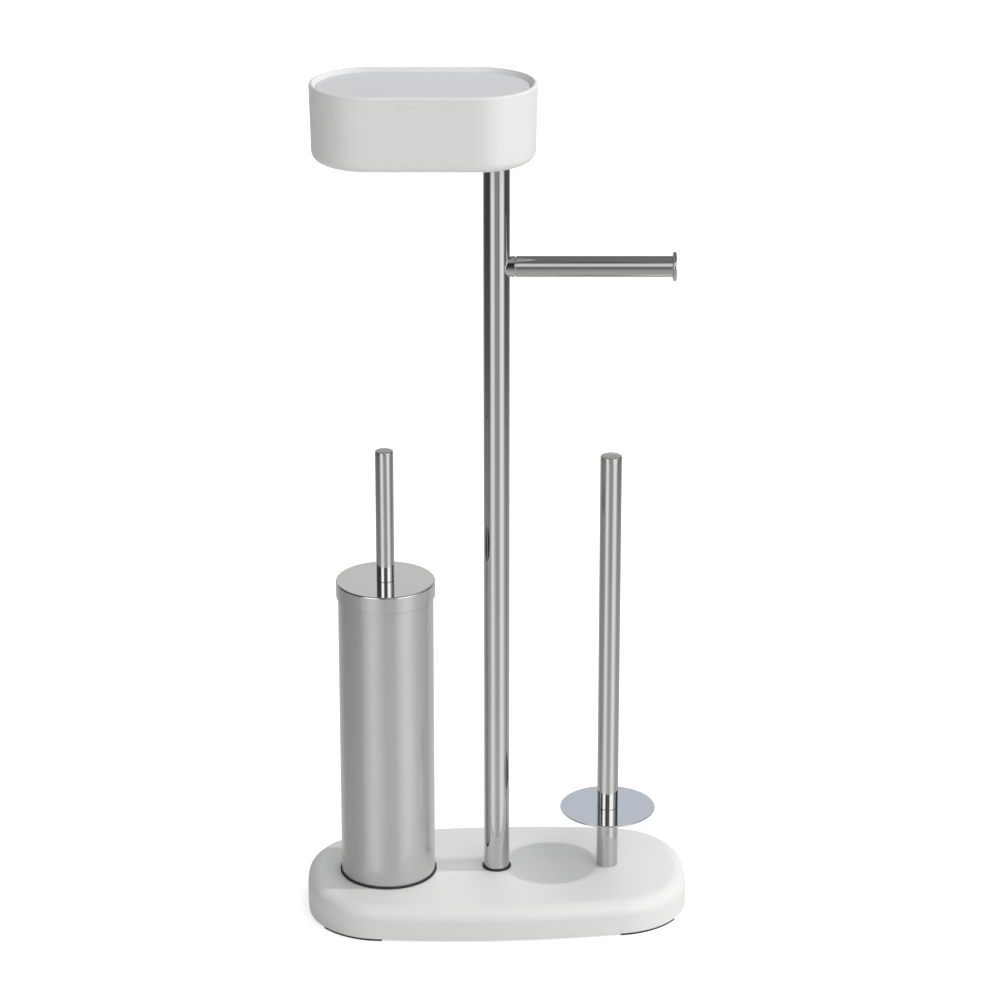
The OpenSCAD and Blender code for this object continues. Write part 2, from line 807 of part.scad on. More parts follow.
// The four corners of one tuft's tip, in the order of its root's face
function tip(row, i) =
    let (share = row_share(row))
    let (r = bristle_d / 2 - bristle_round * share ^ 2)
    let (z = head_z + row_pitch * row + tuft_t / 2 + bristle_splay * share ^ 3)
    let (half = tuft_tip_t / 2)
    let (swing = atan2(half, r))
    let (a = column_angle * (i + 0.5))
    [polar(r, a - swing, z - half), polar(r, a + swing, z - half),
        polar(r, a + swing, z + half), polar(r, a - swing, z + half)];

module bristles()
    color("White") at_holder() {
        cells = [for (k = [0:levels - 2]) for (i = [0:columns - 1]) [k, i]];
        grown = [for (c = cells) if (has_tuft(c[0], c[1])) c];
        bare = [for (c = cells) if (!has_tuft(c[0], c[1])) c];
        outer = [for (k = [0:levels - 1]) for (i = [0:columns - 1])
            polar(sleeve_r, column_angle * i, level_z(k))];
        inner = [for (k = [0, levels - 1]) for (i = [0:columns - 1])
            polar(sleeve_bore_r, column_angle * i, level_z(k))];
        tips = [for (c = grown) for (p = tip((c[0] - 1) / 2, c[1])) p];
        inner_0 = len(outer);
        tips_0 = inner_0 + len(inner);
        last = (levels - 1) * columns;
        polyhedron(
            concat(outer, inner, tips),
            [for (f = concat(
                [for (c = bare) cell(c[0], c[1])],
                [for (g = [0:len(grown) - 1])
                    let (root = cell(grown[g][0], grown[g][1]))
                    let (end = [for (v = [0:3]) tips_0 + 4 * g + v])
                    for (quad = concat([end], [for (v = [0:3])
                        let (w = (v + 1) % 4)
                        [root[v], root[w], end[w], end[v]]])) quad],
                [for (i = [0:columns - 1]) let (j = (i + 1) % columns)
                    [inner_0 + j, inner_0 + i, inner_0 + columns + i, inner_0 + columns + j]],
                [for (i = [0:columns - 1]) let (j = (i + 1) % columns)
                    [j, i, inner_0 + i, inner_0 + j]],
                [for (i = [0:columns - 1]) let (j = (i + 1) % columns)
                    [last + i, last + j, inner_0 + columns + j, inner_0 + columns + i]]))
                for (half = [[f[2], f[1], f[0]], [f[3], f[2], f[0]]]) half]);
    }

// The corners of one face of the sleeve, anticlockwise from outside
function cell(k, i) =
    let (j = (i + 1) % columns)
    [k * columns + i, k * columns + j, (k + 1) * columns + j, (k + 1) * columns + i];

base_cover();
base_ballast();
base_plate();
plate_screws();
anti_slip_strips();
base_bolts();
base_bolt_washers();
post_foot_washer();
post_tube();
post_foot_plug();
post_head_plug();
box_body();
box_clamp_plate();
box_screw();
box_lid();
arm_boss();
arm_stud();
arm_plug();
arm_tube();
arm_end_disc();
spare_rod_foot();
spare_roll_disc();
spare_rod_stud();
spare_rod_plug();
spare_rod_tube();
spare_rod_cap();
holder_foot_ring();
holder_tube();
holder_floor();
holder_nut();
holder_liner();
brush_lid();
brush_stud();
handle_plug();
handle_tube();
handle_cap();
brush_stem();
brush_core();
bristles();
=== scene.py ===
"""Toilet roll and brush stand: meshes, materials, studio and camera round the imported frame.

Metres, +Z up. The middle of the base is the origin, +X points to the spare rolls and -Y to
the front.
"""

import json
import math

import bmesh
import bpy
from mathutils import Matrix, Vector


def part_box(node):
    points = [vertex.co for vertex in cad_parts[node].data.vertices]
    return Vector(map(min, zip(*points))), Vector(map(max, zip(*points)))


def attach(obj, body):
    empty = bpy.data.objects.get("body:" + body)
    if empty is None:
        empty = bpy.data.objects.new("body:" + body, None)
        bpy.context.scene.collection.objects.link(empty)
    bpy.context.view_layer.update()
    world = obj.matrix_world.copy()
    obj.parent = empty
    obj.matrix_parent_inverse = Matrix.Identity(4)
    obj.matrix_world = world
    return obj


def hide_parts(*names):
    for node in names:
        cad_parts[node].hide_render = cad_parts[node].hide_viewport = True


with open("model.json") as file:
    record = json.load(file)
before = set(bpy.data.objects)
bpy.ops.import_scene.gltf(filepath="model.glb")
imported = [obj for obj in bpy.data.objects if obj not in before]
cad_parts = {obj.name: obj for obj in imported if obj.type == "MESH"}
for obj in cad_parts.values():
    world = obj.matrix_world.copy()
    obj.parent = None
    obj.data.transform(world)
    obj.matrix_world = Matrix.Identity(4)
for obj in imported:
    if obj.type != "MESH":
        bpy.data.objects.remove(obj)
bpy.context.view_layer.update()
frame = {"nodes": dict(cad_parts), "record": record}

MM = 0.001
SHARP = math.radians(38)
FLAT_FACE_WEIGHT = 80
ROUND_SIDES = 160
EDGE_STEPS = 5

# Sizes that the outer boxes of the CAD nodes don't give
POST_WALL = 1.5 * MM
TUBE_WALL = 1.2 * MM
HOLDER_WALL = 1.0 * MM
TUBE_EDGE = 0.25 * MM
WASHER_EDGE = 0.4 * MM
BOLT_HOLE_R = 4.4 * MM
STUD_HOLE_R = 3.05 * MM
SLIP = 0.05 * MM
MERGE_WITHIN = SLIP / 50
POLE_BELOW = SLIP / 10

BASE_FRONT_R = 780 * MM
BASE_END_R = 260 * MM
BASE_CORNER_GAP = 21.5 * MM
BASE_EDGE_R = 12 * MM
BASE_HEM_R = 0.4 * MM
HEM_ROWS = 3
BASE_EDGE_ROWS = 12
BASE_TOP_RINGS = (0.8, 0.6, 0.4, 0.2)
COVER_WALL = 4 * MM
COVER_TOP = 6 * MM
STRIP_WIDTH = 8 * MM
STRIP_INSET = 0.6 * MM
STRIP_EDGE = 0.4 * MM
STRIP_END_GAP = 16 * MM
STRIP_LENGTH = 46 * MM

BOX_DRAFT = 1.5 * MM
BOX_FOOT_R = 8 * MM
BOX_FLOOR = 3.5 * MM
BOX_WALL = 2.5 * MM
RIM_EDGE_R = 2 * MM
RIM_CREST = 2.6 * MM
RIM_CREST_R = 0.6 * MM
RIM_SLOPE = 3.2 * MM
LID_DROP = 3.5 * MM
LID_THICK = 2 * MM
LID_GAP = 0.5 * MM
LID_EDGE = 0.3 * MM
LID_RIB_DEPTH = 3 * MM
LID_RIB_THICK = 1.6 * MM
LEDGE_WIDTH = 4 * MM
LEDGE_THICK = 2.5 * MM
GROOVE_LENGTH = 46 * MM
GROOVE_HEIGHT = 5.6 * MM
GROOVE_DEPTH = 0.5 * MM
GROOVE_DROP = 9.5 * MM
GROOVE_ROWS = 24
GROOVE_REACH = 0.75
WALL_ROWS = 8
BOX_EDGE_STEPS = 8

ARM_TURN = math.radians(-3)
ARM_REVEAL_DEPTH = 1 * MM
ARM_REVEAL_WIDTH = 0.8 * MM
ARM_WELD = 0.25 * MM
ARM_NECK = 0.4 * MM
ARM_RING_SHARE = 0.6
ARM_SPIGOT = 10 * MM
END_DISC_EDGE = 1 * MM
END_DISC_TRIM = 0.6 * MM
CAP_EDGE = 0.9 * MM
DISC_EDGE = 0.3 * MM
DISC_BEVEL = 1.2 * MM
DISC_RIM = 0.8 * MM
SEAM_EDGE = 0.5 * MM

LINER_WALL = 1.6 * MM
LINER_FLOOR = 2 * MM
LINER_GAP = 0.4 * MM
RING_OVERLAP = 4 * MM
BRUSH_LID_THICK = 1.2 * MM
BRUSH_LID_EDGE = 1.2 * MM
STEEPEST_RISE = 0.00005
STEM_R = 6 * MM
STEM_COLLAR = 3 * MM
STEM_NECK_R = 2 * MM
COLLAR_EDGE = 1 * MM
CORE_R = 8 * MM
CORE_END = 4 * MM
CORE_FOOT_R = 2 * MM
HAIR_LENGTH_SHARE = 0.985


def span(node):
    """The middle (x, y), the radius, the foot and the head of an upright round CAD node."""
    low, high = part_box(node)
    return ((low.x + high.x) / 2, (low.y + high.y) / 2), (high.x - low.x) / 2, low.z, high.z


# Shapes

def softened(corners, steps=EDGE_STEPS):
    """The closed outline through corners (across, up, radius), each rounded to its radius."""
    outline = []
    for i, (across, up, radius) in enumerate(corners):
        here = Vector((across, up))
        if not radius:
            outline.append(here)
            continue
        before = (Vector(corners[i - 1][:2]) - here).normalized()
        after = (Vector(corners[(i + 1) % len(corners)][:2]) - here).normalized()
        half = before.angle(after) / 2
        middle = here + (before + after).normalized() * radius / math.sin(half)
        start = (here + before * radius / math.tan(half) - middle).normalized()
        end = (here + after * radius / math.tan(half) - middle).normalized()
        outline += [middle + radius * start.slerp(end, k / steps) for k in range(steps + 1)]
    return outline


def skin(rings, loop):
    """A mesh over rings of points; one point is a pole, and a loop joins the last to the first."""
    bm = bmesh.new()
    made = [[bm.verts.new(point) for point in ring] for ring in rings]
    around = max(len(ring) for ring in made)
    pairs = list(zip(made, made[1:] + made[:1]))
    for ring, following in pairs if loop else pairs[:-1]:
        for k in range(around):
            j = (k + 1) % around
            if len(ring) == 1 and len(following) == 1:
                continue
            if len(ring) == 1:
                bm.faces.new((ring[0], following[k], following[j]))
            elif len(following) == 1:
                bm.faces.new((ring[k], following[0], ring[j]))
            else:
                bm.faces.new((ring[k], following[k], following[j], ring[j]))
    return bm


def circle(radius, up, sides=ROUND_SIDES):
    """A ring of points round the axis, or the pole where the radius is nothing."""
    if radius < POLE_BELOW:
        return [(0, 0, up)]
    turns = [2 * math.pi * k / sides for k in range(sides)]
    return [(radius * math.cos(a), radius * math.sin(a), up) for a in turns]


def turned(corners, place, sides=ROUND_SIDES):
    """A turned piece from the corners of its half section, stood at place."""
    rings = [circle(point.x, point.y, sides) for point in softened(corners)]
    bm = skin(rings, loop=all(len(ring) > 1 for ring in rings))
    bm.transform(place)
    return bm


def finished(name, bm, material):
    """The object of a piece: faces outward, smooth between its sharp edges, lying at the origin."""
    if isinstance(bm, bpy.types.Mesh):
        plain, bm = bm, bmesh.new()
        bm.from_mesh(plain)
        bpy.data.meshes.remove(plain)
    bmesh.ops.remove_doubles(bm, verts=bm.verts, dist=MERGE_WITHIN)
    bmesh.ops.recalc_face_normals(bm, faces=bm.faces)
    rough = bpy.data.meshes.new(name + "_rough")
    bm.to_mesh(rough)
    bm.free()
    rough.shade_smooth()
    rough.set_sharp_from_angle(angle=SHARP)
    draft = bpy.data.objects.new(name + "_rough", rough)
    bpy.context.scene.collection.objects.link(draft)
    shading = draft.modifiers.new("even shading", "WEIGHTED_NORMAL")
    shading.keep_sharp = True
    shading.weight = FLAT_FACE_WEIGHT
    depsgraph = bpy.context.evaluated_depsgraph_get()
    mesh = bpy.data.meshes.new_from_object(
        draft.evaluated_get(depsgraph), preserve_all_data_layers=True, depsgraph=depsgraph)
    bpy.data.objects.remove(draft)
    bpy.data.meshes.remove(rough)
    mesh.name = name
    mesh.materials.clear()
    mesh.materials.append(material)
    piece = bpy.data.objects.new(name, mesh)
    bpy.context.scene.collection.objects.link(piece)
    return piece


BODY_OF = {node: body for body, nodes in frame["record"]["behaviour"]["bodies"].items()
           for node in nodes}


def dress(name, bm, material, node):
    """Finishes a piece and lets it stand for its CAD node."""
    piece = finished(name, bm, material)
    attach(piece, BODY_OF[node])
    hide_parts(node)
    return piece


def upright(middle, up=0):
    """The place of an upright piece round its middle (x, y)."""
    return Matrix.Translation((middle[0], middle[1], up))


# Node trees

def add(tree, kind, links=None, **settings):
    """A node with its settings; links maps an input to a value or to the socket that feeds it."""
    made = tree.nodes.new(kind)
    for key, value in settings.items():
        setattr(made, key, value)
    for key, value in (links or {}).items():
        if isinstance(value, bpy.types.NodeSocket):
            tree.links.new(value, made.inputs[key])
        else:
            made.inputs[key].default_value = value
    return made


def sum_of(tree, operation, first, second=0.0):
    """The socket of a Math node."""
    return add(tree, "ShaderNodeMath", {0: first, 1: second}, operation=operation).outputs[0]


def plan(name, inputs):
    """An empty Geometry Nodes tree with its named inputs, and the sockets of those inputs."""
    tree = bpy.data.node_groups.new(name, "GeometryNodeTree")
    for label, kind in {"Geometry": "Geometry", **inputs}.items():
        tree.interface.new_socket(label, in_out="INPUT", socket_type="NodeSocket" + kind)
    tree.interface.new_socket("Geometry", in_out="OUTPUT", socket_type="NodeSocketGeometry")
    return tree, tree.nodes.new("NodeGroupInput").outputs


def end_plan(tree, geometry, material):
    """Ends a tree as every tree here ends: real geometry, with its material set."""
    real = add(tree, "GeometryNodeRealizeInstances", {"Geometry": geometry}).outputs[0]
    dressed = add(tree, "GeometryNodeSetMaterial", {"Geometry": real, "Material": material})
    tree.links.new(dressed.outputs[0], tree.nodes.new("NodeGroupOutput").inputs[0])


def made_by(tree, values, start=None):
    """The plain mesh that a tree makes, with its inputs set by their identifiers."""
    draft = bpy.data.objects.new(tree.name, start or bpy.data.meshes.new(tree.name))
    bpy.context.scene.collection.objects.link(draft)
    modifier = draft.modifiers.new(tree.name, "NODES")
    modifier.node_group = tree
    for item in tree.interface.items_tree:
        if item.in_out == "INPUT" and item.name in values:
            modifier[item.identifier] = values[item.name]
    depsgraph = bpy.context.evaluated_depsgraph_get()
    mesh = bpy.data.meshes.new_from_object(
        draft.evaluated_get(depsgraph), preserve_all_data_layers=True, depsgraph=depsgraph)
    draft.modifiers.remove(modifier)
    bpy.data.objects.remove(draft)
    return mesh


def tube_plan():
    """A tube: its wall's section, with soft edges, carried round a circle."""
    tree, given = plan("Tube", {"Radius": "Float", "Wall": "Float", "Length": "Float",
                                "Edge": "Float", "Sides": "Int", "Material": "Material"})
    section = add(tree, "GeometryNodeCurvePrimitiveQuadrilateral",
                  {"Width": given["Wall"], "Height": given["Length"]}, mode="RECTANGLE")
    soft = add(tree, "GeometryNodeFilletCurve",
               {"Curve": section.outputs[0], "Radius": given["Edge"], "Count": EDGE_STEPS},
               mode="POLY")
    half_wall = sum_of(tree, "MULTIPLY", given["Wall"], 0.5)
    middle = sum_of(tree, "SUBTRACT", given["Radius"], half_wall)
    path = add(tree, "GeometryNodeCurvePrimitiveCircle",
               {"Radius": middle, "Resolution": given["Sides"]}, mode="RADIUS")
    swept = add(tree, "GeometryNodeCurveToMesh",
                {"Curve": path.outputs[0], "Profile Curve": soft.outputs[0]})
    lift = sum_of(tree, "MULTIPLY", given["Length"], 0.5)
    offset = add(tree, "ShaderNodeCombineXYZ", {"Z": lift})
    stood = add(tree, "GeometryNodeTransform",
                {"Geometry": swept.outputs[0], "Translation": offset.outputs[0]})
    end_plan(tree, stood.outputs[0], given["Material"])
    return tree


def tube(name, node, material, wall, place, radius, length, edge=TUBE_EDGE):
    """A tube from the Tube tree, in the place of its CAD node."""
    mesh = made_by(TUBE, {"Radius": radius, "Wall": wall, "Length": length, "Edge": edge,
                          "Sides": ROUND_SIDES, "Material": material})
    mesh.transform(place)
    return dress(name, mesh, material, node)


def upright_tube(name, node, material, wall, edge=TUBE_EDGE):
    """An upright tube as tall and as wide as its CAD node."""
    middle, radius, foot, head = span(node)
    return tube(name, node, material, wall, upright(middle, foot), radius, head - foot, edge)


# Materials: the colours are linear

def surface(name, colour, roughness=0.5, **sockets):
    """A material with its shader; constants sit on the shader's own sockets."""
    material = bpy.data.materials.new(name)
    material.use_nodes = True
    tree = material.node_tree
    shader = tree.nodes["Principled BSDF"]
    shader.inputs["Base Color"].default_value = (*colour, 1)
    shader.inputs["Roughness"].default_value = roughness
    for key, value in sockets.items():
        shader.inputs[key.replace("_", " ")].default_value = value
    return material, tree, shader


def pattern(tree, scale, detail=2.0, stretch=(1, 1, 1), seed=0.0):
    """Noise on the piece's own coordinates, scale in cells to a metre."""
    place = add(tree, "ShaderNodeTexCoord").outputs["Object"]
    mapped = add(tree, "ShaderNodeMapping", {"Vector": place, "Scale": stretch,
                                             "Location": (seed, seed, seed)})
    return add(tree, "ShaderNodeTexNoise", {"Vector": mapped.outputs[0], "Scale": scale,
                                            "Detail": detail}).outputs[0]


def spread(tree, source, low, high):
    """The source noise spread between two values."""
    return add(tree, "ShaderNodeMapRange", {"Value": source, "From Min": 0.3, "From Max": 0.7,
                                            "To Min": low, "To Max": high}).outputs[0]


def tinted(tree, source, first, second):
    """A colour that drifts between two by the source noise; sockets 6, 7 and 2 are colours."""
    mix = add(tree, "ShaderNodeMix", {"Factor": source}, data_type="RGBA")
    mix.inputs[6].default_value = (*first, 1)
    mix.inputs[7].default_value = (*second, 1)
    return mix.outputs[2]


def raised(tree, source, height):
    """A surface normal that follows the source noise, raised by a height in metres."""
    return add(tree, "ShaderNodeBump", {"Height": source, "Distance": height,
                                        "Strength": 1.0}).outputs[0]


def polished_steel(name, colour, low, high, grain=(900, 900, 14), drift=0.93, **sockets):
    """Polished steel: faint smears in its gloss and a trace of the polishing lines."""
    material, tree, shader = surface(name, colour, **{"Metallic": 1.0, **sockets})
    smears = pattern(tree, 38, detail=4, stretch=(1, 1, 0.5))
    tree.links.new(spread(tree, smears, low, high), shader.inputs["Roughness"])
    darker = tuple(drift * c for c in colour)
    tree.links.new(tinted(tree, pattern(tree, 11, seed=3.0), colour, darker),
                   shader.inputs["Base Color"])
    lines = pattern(tree, 1.0, detail=1, stretch=grain)
    tree.links.new(raised(tree, lines, 0.000002), shader.inputs["Normal"])
    return material


def moulded(name, colour, low, high, grain=1500, depth=0.00002, drift=0.97, **sockets):
    """Moulded or cast plastic: a fine skin texture and slight drifts of gloss and colour."""
    material, tree, shader = surface(name, colour, **sockets)
    tree.links.new(spread(tree, pattern(tree, 45, detail=3), low, high),
                   shader.inputs["Roughness"])
    shade = tuple(drift * c for c in colour)
    tree.links.new(tinted(tree, pattern(tree, 14, seed=5.0), colour, shade),
                   shader.inputs["Base Color"])
    tree.links.new(raised(tree, pattern(tree, grain, detail=2), depth), shader.inputs["Normal"])
    return material


def zinc_plate():
    """Zinc plated steel: soft grey, with cloudy spangle."""
    material, tree, shader = surface("zinc_plate", (0.56, 0.57, 0.58), Metallic=1.0)
    clouds = pattern(tree, 260, detail=3)
    tree.links.new(spread(tree, clouds, 0.28, 0.46), shader.inputs["Roughness"])
    tree.links.new(tinted(tree, clouds, (0.50, 0.51, 0.50), (0.62, 0.62, 0.60)),
                   shader.inputs["Base Color"])
    tree.links.new(raised(tree, pattern(tree, 1400), 0.00001), shader.inputs["Normal"])
    return material


def rough_cast():
    """Cast mineral: pitted grey with darker grains."""
    material, tree, shader = surface("rough_cast", (0.42, 0.41, 0.39), roughness=0.85)
    place = add(tree, "ShaderNodeTexCoord").outputs["Object"]
    grains = add(tree, "ShaderNodeTexVoronoi", {"Vector": place, "Scale": 420}).outputs[0]
    tree.links.new(tinted(tree, grains, (0.30, 0.29, 0.27), (0.50, 0.49, 0.46)),
                   shader.inputs["Base Color"])
    tree.links.new(raised(tree, grains, 0.0004), shader.inputs["Normal"])
    return material


steel = polished_steel("polished_steel", (0.55, 0.55, 0.545), 0.035, 0.075)
holder_steel = polished_steel("satin_steel", (0.45, 0.45, 0.448), 0.44, 0.5,
                              grain=(1600, 1600, 9), Metallic=0.42, Coat_Weight=1.0,
                              Coat_IOR=2.3, Coat_Roughness=0.02)
plate_steel = polished_steel("plate_steel", (0.55, 0.55, 0.548), 0.03, 0.06,
                             grain=(500, 500, 500))
white_cover = moulded("white_cover", (0.83, 0.83, 0.825), 0.40, 0.52)
white_box = moulded("white_box", (0.83, 0.83, 0.825), 0.36, 0.46, grain=2200, depth=0.00001)
white_lid = moulded("white_lid", (0.70, 0.71, 0.73), 0.46, 0.56, grain=2200, depth=0.00001)
liner_plastic = moulded("liner_plastic", (0.74, 0.74, 0.73), 0.30, 0.45, drift=0.95)
brush_plastic = moulded("brush_plastic", (0.80, 0.80, 0.79), 0.25, 0.38, drift=0.96)
bristle_nylon = moulded("bristle_nylon", (0.84, 0.84, 0.82), 0.35, 0.55, grain=300, drift=0.90)
black_rubber = moulded("black_rubber", (0.018, 0.018, 0.019), 0.55, 0.75, grain=1800,
                       depth=0.00004, drift=1.4)
black_coating = moulded("black_coating", (0.028, 0.028, 0.029), 0.45, 0.62, grain=900,
                        depth=0.00008, drift=1.3)
zinc = zinc_plate()
mineral = rough_cast()

TUBE = tube_plan()


# Base

cover_low, cover_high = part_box("base_cover")
BASE_WIDTH = cover_high.x - cover_low.x
BASE_DEPTH = cover_high.y - cover_low.y


def arc(centre, radius, start, end, steps):
    """Points on a flat arc, both ends included."""
    turns = [start + (end - start) * k / steps for k in range(steps + 1)]
    return [Vector((centre[0] + radius * math.cos(a), centre[1] + radius * math.sin(a)))
            for a in turns]


def base_outline(inset, front_steps=22, corner_steps=18, end_steps=8):
    """The base's outline drawn in by an inset, anticlockwise from the right end."""
    corner_r = BASE_DEPTH / 2 - BASE_CORNER_GAP
    front_centre = Vector((0, BASE_DEPTH / 2 - BASE_FRONT_R))
    end_centre = Vector((BASE_WIDTH / 2 - BASE_END_R, 0))
    front_hold, end_hold = BASE_FRONT_R - corner_r, BASE_END_R - corner_r
    between = end_centre - front_centre
    along = (front_hold ** 2 - end_hold ** 2 + between.length_squared) / (2 * between.length)
    across = math.sqrt(front_hold ** 2 - along ** 2)
    line = between.normalized()
    corner = front_centre + along * line + across * Vector((line.y, -line.x))
    front_angle = math.atan2(*(corner - front_centre).yx)
    end_angle = math.atan2(*(corner - end_centre).yx)
    quarter = (arc(end_centre, BASE_END_R - inset, 0, end_angle, end_steps)[:-1]
               + arc(corner, corner_r - inset, end_angle, front_angle, corner_steps)[:-1]
               + arc(front_centre, BASE_FRONT_R - inset, front_angle, math.pi / 2, front_steps))
    left = [Vector((-p.x, p.y)) for p in reversed(quarter)]
    back = quarter + left[1:]
    front = [Vector((p.x, -p.y)) for p in reversed(back)]
    return back + front[1:-1]


def base_cover():
    """The cover: hollow below, with a hem at the floor, a soft edge and a flat top."""
    foot, head = cover_low.z, cover_high.z
    hem_turns = [math.pi / 2 * k / HEM_ROWS for k in range(HEM_ROWS + 1)]
    edge_turns = [math.pi / 2 * k / BASE_EDGE_ROWS for k in range(BASE_EDGE_ROWS + 1)]
    level = [(BASE_HEM_R * (1 - math.sin(a)), foot + BASE_HEM_R * (1 - math.cos(a)))
             for a in hem_turns]
    level += [(BASE_EDGE_R * (1 - math.cos(a)), head - BASE_EDGE_R * (1 - math.sin(a)))
              for a in edge_turns]
    inside = [(COVER_WALL, head - COVER_TOP), (COVER_WALL, foot)]
    rings = [[(0, 0, head - COVER_TOP)]]
    rings += [[(p.x, p.y, z) for p in base_outline(inset)] for inset, z in inside + level]
    flat = base_outline(BASE_EDGE_R)
    rings += [[(p.x * share, p.y * share, head) for p in flat] for share in BASE_TOP_RINGS]
    rings += [[(0, 0, head)]]
    return skin(rings, loop=False)


dress("base_cover_shell", base_cover(), white_cover, "base_cover")


def strip_plan():
    """Strips: a rounded section carried along each line of the mesh that is given."""
    tree, given = plan("Anti-slip strips", {"Width": "Float", "Height": "Float",
                                            "Edge": "Float", "Material": "Material"})
    lines = add(tree, "GeometryNodeMeshToCurve", {"Mesh": given["Geometry"]})
    section = add(tree, "GeometryNodeCurvePrimitiveQuadrilateral",
                  {"Width": given["Width"], "Height": given["Height"]}, mode="RECTANGLE")
    soft = add(tree, "GeometryNodeFilletCurve",
               {"Curve": section.outputs[0], "Radius": given["Edge"], "Count": 3}, mode="POLY")
    swept = add(tree, "GeometryNodeCurveToMesh",
                {"Curve": lines.outputs[0], "Profile Curve": soft.outputs[0],
                 "Fill Caps": True})
    end_plan(tree, swept.outputs[0], given["Material"])
    return tree


def anti_slip_strips():
    """The four strips, which follow the base's outline under its corners."""
    low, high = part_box("anti_slip_strips")
    near = BASE_WIDTH / 2 - STRIP_END_GAP - STRIP_LENGTH
    far = BASE_WIDTH / 2 - STRIP_END_GAP
    lines = bmesh.new()
    last = None
    outline = base_outline(STRIP_INSET + STRIP_WIDTH / 2,
                           front_steps=60, corner_steps=60, end_steps=20)
    for point in outline:
        if not near < abs(point.x) < far:
            last = None
            continue
        vertex = lines.verts.new((point.x, point.y, (low.z + high.z) / 2))
        if last:
            lines.edges.new((last, vertex))
        last = vertex
    start = bpy.data.meshes.new("strip_lines")
    lines.to_mesh(start)
    lines.free()
    return made_by(strip_plan(), {"Width": STRIP_WIDTH, "Height": high.z - low.z,
                                  "Edge": STRIP_EDGE, "Material": black_rubber}, start)


dress("anti_slip_strips_shaped", anti_slip_strips(), black_rubber, "anti_slip_strips")

# Post, arm and box share one turn

upright_tube("post", "post_tube", steel, POST_WALL)
_, washer_r, _, _ = span("post_foot_washer")
upright_tube("post_washer", "post_foot_washer", black_rubber, washer_r - BOLT_HOLE_R, WASHER_EDGE)

_, POST_R, _, _ = span("post_tube")
arm_low, arm_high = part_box("arm_tube")
ARM_HEIGHT = (arm_low.z + arm_high.z) / 2
ARM_R = (arm_high.z - arm_low.z) / 2
ARM_FRAME = (Matrix.Rotation(ARM_TURN, 4, "Z") @ Matrix.Translation((0, 0, ARM_HEIGHT))
             @ Matrix.Rotation(math.pi / 2, 4, "Y"))


def along_arm(node):
    """The radius of a round node on the arm, and its start and end along the arm."""
    low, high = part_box(node)
    radius = (high.z - low.z) / 2
    slack = radius * abs(math.sin(ARM_TURN))
    return radius, (low.x + slack) / math.cos(ARM_TURN), (high.x - slack) / math.cos(ARM_TURN)


def arm_boss():
    """The boss widens from a weld fillet on the post's round wall to the reveal."""
    _, _, end = along_arm("arm_boss")
    face = end - ARM_REVEAL_WIDTH

    def on_post(radius, out=0.0):
        ring = []
        for x, y, _ in circle(radius, 0):
            reach = math.sqrt(max((POST_R + SLIP) ** 2 - y * y, 0))
            ring.append((x, y, reach + out))
        return ring

    neck = ARM_R - ARM_NECK
    rings = [on_post(r) for r in (STUD_HOLE_R, ARM_R * ARM_RING_SHARE, neck)]
    for k in range(2 * EDGE_STEPS + 1):
        a = math.pi / 4 * k / EDGE_STEPS
        rings.append(on_post(neck + ARM_WELD * (1 - math.sin(a)), ARM_WELD * (1 - math.cos(a))))
    plain = softened([(ARM_R, face, TUBE_EDGE), (ARM_R - ARM_REVEAL_DEPTH, face, 0),
                      (ARM_R - ARM_REVEAL_DEPTH, end, 0), (STUD_HOLE_R, end, 0),
                      (STUD_HOLE_R, POST_R, 0), (ARM_R, POST_R, 0)])
    rings += [circle(point.x, point.y) for point in plain[:-2]]
    bm = skin(rings, loop=True)
    bm.transform(ARM_FRAME)
    return bm


dress("arm_boss_welded", arm_boss(), steel, "arm_boss")
_, tube_start, tube_end = along_arm("arm_tube")
tube("arm", "arm_tube", steel, TUBE_WALL, ARM_FRAME @ Matrix.Translation((0, 0, tube_start)),
     ARM_R, tube_end - tube_start)
disc_r, _, arm_end = along_arm("arm_end_disc")
disc_face = arm_end - END_DISC_TRIM
spigot_r = ARM_R - TUBE_WALL - SLIP
dress("arm_disc", turned([
    (0, disc_face, 0), (disc_r, disc_face, END_DISC_EDGE), (disc_r, tube_end, END_DISC_EDGE),
    (spigot_r, tube_end, 0), (spigot_r, tube_end - ARM_SPIGOT, TUBE_EDGE),
    (0, tube_end - ARM_SPIGOT, 0)], ARM_FRAME), steel, "arm_end_disc")

# The storage box: an oblong, two half turns joined by straight runs

box_low, box_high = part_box("box_body")
HALF_X, HALF_Y = (box_high.x - box_low.x) / 2, (box_high.y - box_low.y) / 2
BOX_STRAIGHT = (HALF_X - HALF_Y) / (math.cos(ARM_TURN) - abs(math.sin(ARM_TURN)))
BOX_R = HALF_X - BOX_STRAIGHT * math.cos(ARM_TURN)
BOX_HEIGHT = box_high.z - box_low.z
BOX_FRAME = (Matrix.Translation(((box_low.x + box_high.x) / 2, (box_low.y + box_high.y) / 2,
                                 box_low.z)) @ Matrix.Rotation(ARM_TURN, 4, "Z"))
BOX_CENTRE_R = 0.02 * BOX_R
LID_RECESS_R = BOX_R - RIM_CREST - RIM_SLOPE
LID_SEAT = BOX_HEIGHT - LID_DROP - LID_THICK


def oblong(radius, up, turn_steps=44, run_steps=120):
    """A ring of points round the oblong at a distance from its middle line."""
    def half_turn(side):
        start = -math.pi / 2 if side > 0 else math.pi / 2
        return [(side * BOX_STRAIGHT + radius * math.cos(start + math.pi * k / turn_steps),
                 radius * math.sin(start + math.pi * k / turn_steps), up)
                for k in range(turn_steps + 1)]

    def run(side):
        return [(side * BOX_STRAIGHT * (1 - 2 * k / run_steps), side * radius, up)
                for k in range(1, run_steps)]

    return half_turn(1) + run(1) + half_turn(-1) + run(-1)


